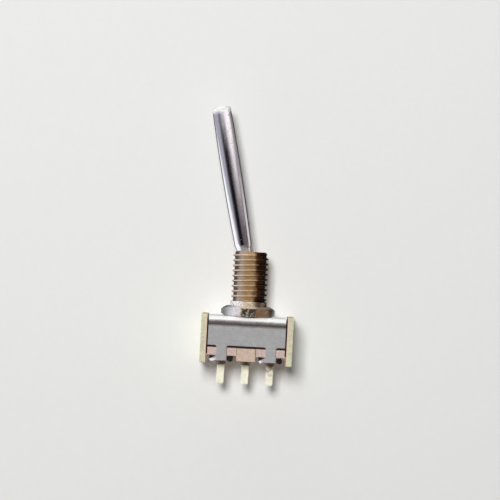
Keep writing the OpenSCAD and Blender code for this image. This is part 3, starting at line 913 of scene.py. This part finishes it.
def grown(name, tree_of, values):
    """A plain mesh piece made by a geometry tree with these input values."""
    piece = piece_from(name, bpy.data.meshes.new(name))
    made = piece.modifiers.new(name, "NODES")
    made.node_group = tree = tree_of(values)
    sockets = {
        item.name: item.identifier for item in tree.interface.items_tree
        if item.item_type == "SOCKET" and item.in_out == "INPUT"
    }
    for label, value in values.items():
        made[sockets[label]] = value
    return applied(piece)


# Share of the half pitch at which a crest ends and the valley's floor begins
CREST_SHARE, ROOT_SHARE = 0.12, 0.55
# Share of a turn at which the front lies
FRONT_SHARE = 0.75
# How fast the chamfer widens downwards, and the heights over which the ends blend
CHAMFER_RISE = 0.62
TOP_BLEND, FOOT_BLEND = 0.22 * MM, 0.3 * MM


def thread_tree(values):
    """Geometry tree of the thread: a grid rolled round Z, its radius following the helix."""
    made, given = new_tree("bushing_thread", values)
    grid = made.add("GeometryNodeMeshGrid")
    grid.inputs["Size X"].default_value = 1.0
    grid.inputs["Size Y"].default_value = 1.0
    made.put(grid.inputs["Vertices X"], given["Steps"] + 1)
    made.put(grid.inputs["Vertices Y"], given["Rows"] + 1)
    across, along, _ = made.axes(made.add("GeometryNodeInputPosition").outputs[0])
    share = across + 0.5
    up = (along + 0.5) * (given["Height"] - given["Start"]) + given["Start"]

    # Share of a turn away from the nearest crest; the first crest stands at the front
    lifted = (up - given["First crest"]) / given["Pitch"]
    phase = made.math("FRACT", lifted - (share - FRONT_SHARE) + 0.5)
    away = abs(phase - 0.5) * 2.0
    out = made.span(away, CREST_SHARE, ROOT_SHARE, 1.0, 0.0, smooth=False)
    cut = out * (given["Crest radius"] - given["Root radius"]) + given["Root radius"]

    # Chamfer at the top, and plain circles at both ends so that they join the turned inside
    below_top = given["Height"] - up
    cone = below_top * CHAMFER_RISE + (given["Crest radius"] - given["Chamfer"])
    cut = made.smaller(cut, cone)
    top = made.span(below_top, 0.0, TOP_BLEND, 1.0, 0.0)
    foot = made.span(up - given["Start"], 0.0, FOOT_BLEND, 1.0, 0.0)
    cut = (given["Top radius"] - cut) * top + cut
    cut = (given["Foot radius"] - cut) * foot + cut
    rolled = made.placed(grid.outputs["Mesh"], cut, share * (2.0 * math.pi), up)
    return end_tree(made, rolled, given["Finish"])


def spring_tree(values):
    """Geometry tree of the spring: a wire wound round Z, with a closed turn at each end."""
    made, given = new_tree("plunger_spring", values)
    turns, wire = given["Turns"], given["Wire radius"] * 2.0
    points = made.add("GeometryNodeResampleCurve")
    made.put(points.inputs["Curve"], made.add("GeometryNodeCurvePrimitiveLine").outputs[0])
    made.put(points.inputs["Count"], given["Steps"])
    share = Value(made, made.add("GeometryNodeSplineParameter").outputs["Factor"])
    turn = share * turns
    rise = given["Wire radius"]
    for first, last, height in (
        (0.0, 1.0, wire), (1.0, turns - 1.0, given["Length"] - wire * 3.0),
        (turns - 1.0, turns, wire),
    ):
        rise = rise + made.span(turn, first, last, 0.0, height, smooth=False)
    wound = made.placed(points.outputs[0], given["Coil radius"], turn * (2.0 * math.pi), rise)
    section = made.add("GeometryNodeCurvePrimitiveCircle")
    made.put(section.inputs["Resolution"], given["Sides"])
    made.put(section.inputs["Radius"], given["Wire radius"])
    tube = made.add("GeometryNodeCurveToMesh")
    made.put(tube.inputs["Curve"], wound)
    made.put(tube.inputs["Profile Curve"], section.outputs[0])
    tube.inputs["Fill Caps"].default_value = True
    return end_tree(made, tube.outputs[0], given["Finish"])


# ---------------------------------------------------------------- operators

class ToggleTurnLever(bpy.types.Operator):
    """Turn the chromed bat lever with its ball and drilled stem, and drill the cross hole"""

    bl_idname = "toggle_switch.turn_lever"
    bl_label = "Turn the lever"

    def execute(self, context):
        settings = context.scene.toggle_switch
        sizes = settings.lever
        place, lean = lever_place()
        bat = turned_shape(self.outline(sizes), sizes.steps)
        piece = piece_from("lever_bat", mesh_of(bat, "lever_bat"))
        past = 2.0 * sizes.ball_r
        ends = [(0.0, -past), (sizes.pin_hole_r, -past), (sizes.pin_hole_r, past), (0.0, past)]
        sideways = Matrix.Rotation(math.radians(90.0), 4, "X")
        hole = mesh_of(turned_shape(ends, HOLE_STEPS), "cross_hole", sideways)
        cut_from(piece, piece_from("cross_hole", hole))
        piece.data.transform(place)
        smoothed(piece.data, SHARP)
        chrome = chrome_finish(
            settings.colours.chrome, lean, place.to_translation().z,
            sizes.neck_end + sizes.taper, sizes.reach,
        )
        seated(piece, "lever", "lever_chrome", chrome, "lever")
        return {"FINISHED"}

    @staticmethod
    def outline(sizes):
        """Outline of the lever from the bore's end, round the outside, to the tip."""
        start = sizes.neck_end + sizes.taper
        tip_start = sizes.reach - sizes.tip_round
        bevel, gap = 0.05 * MM, 0.03 * MM

        def bat_r(s):
            if s < sizes.belly:
                share = (sizes.belly - s) / (sizes.belly - start)
                return sizes.belly_r - (sizes.belly_r - sizes.foot_r) * share ** 2
            share = (s - sizes.belly) / (sizes.reach - sizes.belly)
            return sizes.belly_r - (sizes.belly_r - sizes.tip_r) * share ** 2

        def taper(share):
            ease = share * share * (3.0 - 2.0 * share)
            across = sizes.neck_r + (sizes.foot_r - sizes.neck_r) * ease
            return across, sizes.neck_end + sizes.taper * share

        quarter = math.radians(90.0)
        stem_turn = math.asin(sizes.stem_r / sizes.ball_r) - quarter
        neck_turn = quarter - math.asin(sizes.neck_r / sizes.ball_r)
        edge_r = bat_r(tip_start) - sizes.tip_round
        return [
            (0.0, -sizes.bore_roof), (sizes.bore_r, -sizes.bore_roof),
            (sizes.bore_r, -sizes.stem_end + bevel), (sizes.bore_r + bevel, -sizes.stem_end),
            (sizes.stem_r - bevel, -sizes.stem_end), (sizes.stem_r, -sizes.stem_end + bevel),
            *arc(sizes.ball_r, stem_turn, neck_turn, BALL_STEPS),
            (sizes.neck_r, sizes.neck_end - gap),
            *[taper(share) for share in round_steps(0.0, 1.0, NECK_STEPS)[1:-1]],
            *[(bat_r(s), s) for s in round_steps(start, tip_start, BAT_STEPS)],
            *arc(sizes.tip_round, 0.0, quarter, TIP_STEPS, edge_r, tip_start)[1:],
            (0.5 * edge_r, sizes.reach), (0.0, sizes.reach),
        ]


class ToggleWindSpring(bpy.types.Operator):
    """Wind the spring, and finish the plunger and the cross pin that go with the lever"""

    bl_idname = "toggle_switch.wind_spring"
    bl_label = "Wind the spring"

    def execute(self, context):
        settings = context.scene.toggle_switch
        sizes, colours, small = settings.spring, settings.colours, settings.edges.small
        place = lever_place()[0]
        steel = plain_metal_finish("spring_steel", colours.spring, 0.25, 0.4, (0.24, 0.21, 0.18))
        spring = grown("plunger_spring_wound", spring_tree, {
            "Coil radius": sizes.coil_r, "Wire radius": sizes.wire_r, "Length": sizes.free,
            "Turns": sizes.turns, "Steps": sizes.steps, "Sides": sizes.sides, "Finish": steel,
        })
        flip = Matrix.Rotation(math.pi, 4, "X")
        spring.data.transform(place @ Matrix.Translation((0, 0, -sizes.start)) @ flip)
        closed = bmesh.new()
        closed.from_mesh(spring.data)
        bmesh.ops.remove_doubles(closed, verts=closed.verts, dist=WELD / 10.0)
        bmesh.ops.recalc_face_normals(closed, faces=closed.faces)
        closed.to_mesh(spring.data)
        closed.free()
        smoothed(spring.data)
        seated(spring, "lever", "spring_steel", steel, "plunger_spring")
        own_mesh(spring)

        nylon = nylon_finish(colours.nylon)
        finish_node("plunger", "plunger", "plunger_nylon", nylon, small)
        pin = plain_metal_finish("pin_steel", colours.pin, 0.18, 0.3, (0.35, 0.32, 0.30))
        finish_node("lever_pin", "lever", "pin_steel", pin, small)
        return {"FINISHED"}


class ToggleCutBushing(bpy.types.Operator):
    """Cut the threaded bushing with its mouth, ball seat, pin slots and staked rim"""

    bl_idname = "toggle_switch.cut_bushing"
    bl_label = "Cut the bushing"

    def execute(self, context):
        settings = context.scene.toggle_switch
        sizes, colours = settings.thread, settings.colours
        brass = brass_finish(
            colours.brass, colours.brass_dark, sizes.root_r, sizes.crest_r, sizes.collar_h,
        )
        thread = grown("bushing_threaded", thread_tree, {
            "Pitch": sizes.pitch, "Crest radius": sizes.crest_r, "Root radius": sizes.root_r,
            "First crest": sizes.first_crest, "Start": sizes.collar_h, "Height": sizes.height,
            "Chamfer": sizes.chamfer, "Top radius": sizes.top_r, "Foot radius": sizes.foot_r,
            "Steps": sizes.steps, "Rows": sizes.rows, "Finish": brass,
        })
        whole = bmesh.new()
        whole.from_mesh(thread.data)
        turned_shape(self.inside(sizes), sizes.steps, whole)
        thread.data = mesh_of(whole, "bushing_threaded")
        cut_from(thread, self.slot_cutter(sizes))
        smoothed(thread.data, THREAD_SHARP)
        seated(thread, "housing", "bushing_brass", brass, "bushing")
        return {"FINISHED"}

    @staticmethod
    def inside(sizes):
        """Outline from the top edge, down through the bore, round the rim and up the shank."""
        top, lip, soft, step = sizes.height, 0.04 * MM, 0.06 * MM, 0.02 * MM
        throat_h = math.sqrt(sizes.seat_r ** 2 - sizes.throat_r ** 2)
        low_turn = math.asin(throat_h / sizes.seat_r)
        guide_low, flare, bore_r = 2.45 * MM, 0.8 * MM, 2.544 * MM
        foot, rim_r, spigot_r, shank_r = -2.55 * MM, 3.004 * MM, 2.804 * MM, 3.0 * MM
        web, rim_top, rim_root = -1.8 * MM, -2.35 * MM, -2.27 * MM
        return [
            (sizes.top_r, top), (sizes.mouth_r + lip, top), (sizes.mouth_r, top - lip),
            (sizes.throat_r, sizes.pivot + throat_h + step),
            *arc(sizes.seat_r, low_turn, 0.0, SEAT_STEPS, up=sizes.pivot),
            (sizes.seat_r, guide_low), (bore_r, guide_low - flare),
            (bore_r, foot + soft), (bore_r + soft, foot), (rim_r - soft, foot),
            (rim_r, foot + soft), (rim_r, rim_top), (spigot_r, rim_root),
            (spigot_r, web), (shank_r, web), (shank_r, 0.0), (sizes.collar_r - soft, 0.0),
            (sizes.collar_r, soft), (sizes.collar_r, sizes.collar_h - 2 * soft),
            (sizes.collar_r - 2 * soft, sizes.collar_h), (sizes.foot_r, sizes.collar_h),
        ]

    @staticmethod
    def slot_cutter(sizes):
        """Cutter for the two slots in which the cross pin runs."""
        half, reach, low = 0.45 * MM, 2.56 * MM, 1.65 * MM
        arch = [(-half, low), (half, low), *arc(half, 0.0, math.pi, ARCH_STEPS, up=sizes.pivot)]
        shape = bmesh.new()
        ends = [[shape.verts.new((x, y, z)) for x, z in arch] for y in (-reach, reach)]
        for end in ends:
            shape.faces.new(end)
        join_rings(shape, *ends)
        return piece_from("slot_cutter", mesh_of(shape, "slot_cutter"))


class ToggleMakeNut(bpy.types.Operator):
    """Make the hexagon nut with chamfers that run out on its six flats"""

    bl_idname = "toggle_switch.make_nut"
    bl_label = "Make the nut"

    def execute(self, context):
        settings = context.scene.toggle_switch
        sizes = settings.nut
        flat, slope = sizes.flats / 2.0, math.tan(sizes.slope)
        section = self.section(flat, sizes.corner, sizes.turn)
        low, bore, lead = -sizes.height, sizes.bore_r, sizes.lead
        start, foot = flat - sizes.bevel, flat - sizes.under
        saved = (foot - start) * slope
        shape = bmesh.new()
        rings = []
        for radius_of, height_of in (
            (lambda r: bore, lambda d: -lead),
            (lambda r: bore + lead, lambda d: 0.0),
            (lambda r: start, lambda d: 0.0),
            (lambda r: (start + r) / 2.0, lambda d: -d / 2.0),
            (lambda r: r, lambda d: -d),
            (lambda r: r, lambda d: low + d - saved),
            (lambda r: (foot + r) / 2.0, lambda d: low + (d - saved) / 2.0),
            (lambda r: foot, lambda d: low),
            (lambda r: bore + lead, lambda d: low),
            (lambda r: bore, lambda d: low + lead),
        ):
            rings.append([
                shape.verts.new((
                    radius_of(radius) * math.cos(angle), radius_of(radius) * math.sin(angle),
                    height_of((radius - start) * slope),
                ))
                for radius, angle in section
            ])
        for inner, outer in zip(rings, rings[1:] + rings[:1]):
            join_rings(shape, inner, outer)
        piece = piece_from("mounting_nut_chamfered", mesh_of(shape, "mounting_nut_chamfered"))
        smoothed(piece.data, NUT_SHARP)
        finish = nut_finish(settings.colours.nut, DARKENED_EDGE)
        seated(piece, "housing", "nut_nickel", finish, "mounting_nut")
        return {"FINISHED"}

    @staticmethod
    def section(flat, corner, turn):
        """Points (radius, angle) of a hexagon with rounded corners."""
        half_side = math.radians(30.0)
        centre_r = (flat - corner) / math.cos(half_side)
        points = []
        for side in range(6):
            middle = turn + 2.0 * half_side * side
            after = middle + 2.0 * half_side
            centre = (centre_r * math.cos(middle), centre_r * math.sin(middle))
            ends = (middle - half_side, middle + half_side)
            points += [Vector(point) for point in arc(corner, *ends, CORNER_STEPS, *centre)]
            next_centre = Vector((centre_r * math.cos(after), centre_r * math.sin(after)))
            away = Vector((math.cos(middle + half_side), math.sin(middle + half_side)))
            begin, finish = points[-1], next_centre + corner * away
            points += [begin.lerp(finish, k / SIDE_STEPS) for k in range(1, SIDE_STEPS)]
        return [(p.length, math.atan2(p.y, p.x)) for p in points]


# Places and sizes in the switch's frame that the painted light and shade and the darkened flats
# of the nut, bracket and case, and the stain on the right blade, follow
DARKENED_EDGE = 0.30 * MM
BEND_R, WING_TOP, TAB_X, TAB_HALF = 1.4 * MM, -8.75 * MM, 4.34 * MM, 0.875 * MM
PLATE_T, BOSS_HALF, WINDOW_TOP, SHADOW_Z = 1.05 * MM, 1.62 * MM, -8.55 * MM, -7.10 * MM
STAIN_FROM_MIDDLE, STAIN_UP = Vector((0.15 * MM, -0.3 * MM, 0.0)), 2.7 * MM


class ToggleFoldBracket(bpy.types.Operator):
    """Finish the folded bracket with the soft cut edges of stamped sheet"""

    bl_idname = "toggle_switch.fold_bracket"
    bl_label = "Fold the bracket"

    def execute(self, context):
        settings = context.scene.toggle_switch
        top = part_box("bracket")[1].z
        steel = bracket_finish(
            settings.colours.bracket, top, BEND_R, WING_TOP, TAB_X, TAB_HALF,
        )
        edge = settings.edges.bracket
        finish_node("bracket", "housing", "bracket_steel", steel, edge, 3, SHARP)
        return {"FINISHED"}


class ToggleMouldCase(bpy.types.Operator):
    """Finish the moulded case with its end plates and bosses"""

    bl_idname = "toggle_switch.mould_case"
    bl_label = "Mould the case"

    def execute(self, context):
        settings = context.scene.toggle_switch
        colours = settings.colours
        plastic = case_finish(
            colours.case, colours.case_pale, colours.boss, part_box("case")[1].x - PLATE_T,
            BOSS_HALF, WINDOW_TOP, SHADOW_Z,
        )
        edge = settings.edges.case
        finish_node("case", "housing", "case_plastic", plastic, edge, 3, SHARP)
        return {"FINISHED"}


class ToggleTinTerminals(bpy.types.Operator):
    """Finish the three tinned terminals and the resin round them"""

    bl_idname = "toggle_switch.tin_terminals"
    bl_label = "Tin the terminals"

    def execute(self, context):
        settings = context.scene.toggle_switch
        low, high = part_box("right_terminal")
        stain = (low + high) / 2.0 + STAIN_FROM_MIDDLE
        stain.z = low.z + STAIN_UP
        tin = tin_finish(settings.colours.tin, settings.colours.flux, stain)
        resin = resin_finish(settings.colours.resin)
        edge = settings.edges.terminal
        for side in ("left", "center", "right"):
            finish_node(side + "_terminal", "housing", "pin_tin", tin, edge, 3, SHARP)
            finish_node(side + "_seal", "housing", "seal_resin", resin, 0.0)
        return {"FINISHED"}


class ToggleSetContacts(bpy.types.Operator):
    """Finish the rocking arm and the silver contacts inside the case"""

    bl_idname = "toggle_switch.set_contacts"
    bl_label = "Set the contacts"

    def execute(self, context):
        settings = context.scene.toggle_switch
        colours, small = settings.colours, settings.edges.small
        copper = plain_metal_finish("rocker_copper", colours.copper, 0.24, 0.4, (0.34, 0.16, 0.10))
        silver = plain_metal_finish("contact_silver", colours.silver, 0.2, 0.35, (0.45, 0.42, 0.38))
        finish_node("rocker", "rocker", "rocker_copper", copper, small)
        for side in ("left", "right"):
            finish_node(side + "_fixed_contact", "housing", "contact_silver", silver, small)
            finish_node(side + "_moving_contact", "rocker", "contact_silver", silver, small)
        return {"FINISHED"}


# Soft boxes and flags of the studio, each laid over the ones before. Azimuth is measured
# from the camera to the right and elevation above the lever's own level, in degrees. Each
# row gives where a box fades in, is full, starts to fade and has faded out, first in
# azimuth and then in elevation, how much it leans, and its linear colour
STUDIO = {
    "left wall": ((-190, -180, -72, -27), (-50, -35, 20, 40), 0, (0.45, 0.44, 0.51)),
    "left box": ((-250, -240, -98, -76), (-60, -45, 2.5, 6.0), 6, (1.22, 1.23, 1.25)),
    "right wall": ((-12, 32, 112, 140), (-3.5, 0.5, 24, 40), 0, (0.33, 0.32, 0.34)),
    "right strip": ((80, 94, 110, 130), (-40, -30, -2, 3), 0, (0.90, 0.89, 0.90)),
    "dark core": ((-60, -24, -12, 16), (-16, -11, 3.2, 8.0), 1.8, (0.008, 0.006, 0.011)),
    "front top": ((-50, -10, 20, 50), (4.0, 8.0, 10, 15), 0, (0.72, 0.70, 0.73)),
    "low right box": ((14, 50, 56, 82), (-1.5, 5, 8, 12), 0, (1.15, 1.14, 1.15)),
    "right box": ((0, 36, 76, 98), (2, 6.5, 22, 34), 0, (1.25, 1.24, 1.25)),
    "upper flag": ((-110, -80, 80, 110), (10, 16, 50, 60), 0, (0.05, 0.045, 0.045)),
    "overhead": ((-400, -300, 300, 400), (50, 60, 170, 180), 0, (1.5, 1.49, 1.47)),
    "floor": ((-400, -300, 300, 400), (-180, -170, -60, -35), 0, (0.60, 0.57, 0.53)),
}
STUDIO_BASE = (0.12, 0.11, 0.11)
LEAN_LOW, LEAN_HIGH = -5.0, 6.0

# Dim side of the studio: where in azimuth it begins, how high it goes, and its light
BEHIND_START, BEHIND_FULL = 123.0, 143.0
BEHIND_TOP, BEHIND_END = 40.0, 60.0
BEHIND_LIGHT = (0.07, 0.075, 0.07)

# Lamps by the setting that holds their power and their place in metres; all face the target
LAMPS = {
    "main_lamp": ("lamp_power", (-0.10, -0.61, 0.20)),
    "back_lamp": ("fill_power", (0.30, 0.50, 0.45)),
    "left_lamp": ("side_power", (-0.60, 0.12, 0.06)),
    "low_lamp": ("side_power", (0.05, 0.16, -0.60)),
}
LAMP_TARGET = Vector((0.0, 0.0, 0.005))
SENSOR_W, CLIP_NEAR, CLIP_FAR = 36.0, 0.05, 20.0


class ToggleSetStage(bpy.types.Operator):
    """Lay the pale card, hang the studio light and place the camera"""

    bl_idname = "toggle_switch.set_stage"
    bl_label = "Set the stage"

    def execute(self, context):
        settings = context.scene.toggle_switch.stage
        self.lay_card(settings)
        self.light_world(settings)
        self.hang_lamps(settings)
        self.place_camera(settings)
        context.scene.view_settings.view_transform = "Standard"
        return {"FINISHED"}

    @staticmethod
    def lay_card(settings):
        """Pale card just behind the switch, seen from the front only."""
        y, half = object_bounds()[1].y + settings.card_gap, settings.card_size / 2.0
        mesh = bpy.data.meshes.new("pale_card")
        corners = [(-half, y, -half), (half, y, -half), (half, y, half), (-half, y, half)]
        mesh.from_pydata(corners, [], [(0, 1, 2, 3)])
        card = piece_from("pale_card", mesh)
        made = finish_named("pale_card", Specular_IOR_Level=0.2)
        fibre = made.noise(900.0)
        fibres = made.span(fibre, 0.3, 0.7, 0.0, 0.5)
        tone = made.mix(fibres, settings.card, dimmed(settings.card, 0.98))
        mesh.materials.append(dressed(made, tone, 0.85, ((fibre, 8),)))
        side = made.add("ShaderNodeNewGeometry").outputs["Backfacing"]
        paths = made.add("ShaderNodeLightPath").outputs
        unseen = made.larger(paths["Is Shadow Ray"], paths["Is Glossy Ray"])
        see_through = made.add("ShaderNodeBsdfTransparent")
        made.show(made.shaders(made.larger(side, unseen), made.surface, see_through))
        card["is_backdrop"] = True

    @staticmethod
    def light_world(settings):
        """Soft boxes and flags painted by direction; the camera sees a plain pale backdrop."""
        world = bpy.data.worlds.new("soft_studio")
        bpy.context.scene.world = world
        world.use_nodes = True
        made = Nodes(world.node_tree)
        level = made.add("ShaderNodeVectorRotate", rotation_type="Y_AXIS")
        made.put(level.inputs["Vector"], made.add("ShaderNodeTexCoord").outputs["Generated"])
        level.inputs["Angle"].default_value = lever_place()[1]
        east, north, up = made.axes(level.outputs[0])
        azimuth = made.around(east, north)
        elevation = made.math("DEGREES", made.math("ARCSINE", up))
        near_level = made.span(elevation, LEAN_LOW, LEAN_HIGH, LEAN_LOW, LEAN_HIGH, smooth=False)
        light = STUDIO_BASE
        for across, high, lean, shade in STUDIO.values():
            leaning = near_level * lean + azimuth
            light = made.mix(
                made.plateau(leaning, across) * made.plateau(elevation, high), light, shade,
            )
        behind = made.span(abs(azimuth), BEHIND_START, BEHIND_FULL)
        behind = behind * made.span(elevation, BEHIND_TOP, BEHIND_END, 1.0, 0.0)
        light = made.mix(behind, light, BEHIND_LIGHT)

        def sky(shade, strength=1.0):
            node = made.add("ShaderNodeBackground")
            made.put(node.inputs["Color"], shade)
            node.inputs["Strength"].default_value = strength
            return node

        paths = made.add("ShaderNodeLightPath").outputs
        soft, plain = sky((settings.ambient,) * 3), sky((settings.backdrop,) * 3)
        lit = made.shaders(paths["Is Diffuse Ray"], sky(light, settings.studio), soft)
        made.show(made.shaders(paths["Is Camera Ray"], lit, plain))

    @staticmethod
    def hang_lamps(settings):
        """A soft lamp from the upper left, and weaker ones behind and beside the card."""
        for name, (power, place) in LAMPS.items():
            data = bpy.data.lights.new(name, "AREA")
            data.energy = getattr(settings, power)
            data.size = settings.lamp_size
            lamp = piece_from(name, data)
            lamp.location = place
            lamp.visible_glossy = False
            facing = (LAMP_TARGET - Vector(place)).to_track_quat("-Z", "Y")
            lamp.rotation_euler = facing.to_euler()

    @staticmethod
    def place_camera(settings):
        """Camera straight in front, rolled a little, framing the switch."""
        data = bpy.data.cameras.new("front_camera")
        data.sensor_width = SENSOR_W
        data.lens = settings.lens
        distance = settings.frame_w * data.lens / data.sensor_width
        data.clip_start = distance * CLIP_NEAR
        data.clip_end = distance * CLIP_FAR
        camera = piece_from("front_camera", data)
        roll = settings.roll
        right = Vector((math.cos(roll), 0.0, math.sin(roll)))
        up = Vector((-math.sin(roll), 0.0, math.cos(roll)))
        back = Vector((0.0, -1.0, 0.0))
        centre = Vector((settings.centre_x * MM, -settings.middle, settings.centre_z * MM))
        camera.matrix_world = Matrix.Translation(centre + back * distance) @ Matrix(
            (right, up, back)
        ).transposed().to_4x4()
        bpy.context.scene.camera = camera


STEPS = (
    ToggleTurnLever, ToggleWindSpring, ToggleCutBushing, ToggleMakeNut, ToggleFoldBracket,
    ToggleMouldCase, ToggleTinTerminals, ToggleSetContacts, ToggleSetStage,
)


class ToggleSwitchPanel(bpy.types.Panel):
    """Panel with the switch's steps and settings"""

    bl_label = "Toggle Switch"
    bl_idname = "VIEW3D_PT_toggle_switch"
    bl_space_type = "VIEW_3D"
    bl_region_type = "UI"
    bl_category = "Toggle Switch"

    def draw(self, context):
        for step in STEPS:
            self.layout.operator(step.bl_idname)
        settings = context.scene.toggle_switch
        for group in ("lever", "thread", "nut", "spring", "edges", "colours", "stage"):
            box = self.layout.box()
            box.label(text=group.capitalize())
            values = getattr(settings, group)
            for name in values.__annotations__:
                box.prop(values, name)


CLASSES = (
    ToggleLeverSizes, ToggleThreadSizes, ToggleNutSizes, ToggleSpringSizes, ToggleEdgeSizes,
    ToggleFinishColours, ToggleStageSettings, ToggleSwitchSettings, *STEPS, ToggleSwitchPanel,
)


def register():
    for kind in CLASSES:
        bpy.utils.register_class(kind)
    bpy.types.Scene.toggle_switch = PointerProperty(type=ToggleSwitchSettings)


def unregister():
    del bpy.types.Scene.toggle_switch
    for kind in reversed(CLASSES):
        bpy.utils.unregister_class(kind)


def main():
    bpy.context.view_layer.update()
    register()
    for step in STEPS:
        group, name = step.bl_idname.split(".")
        getattr(getattr(bpy.ops, group), name)()


if __name__ == "__main__":
    main()
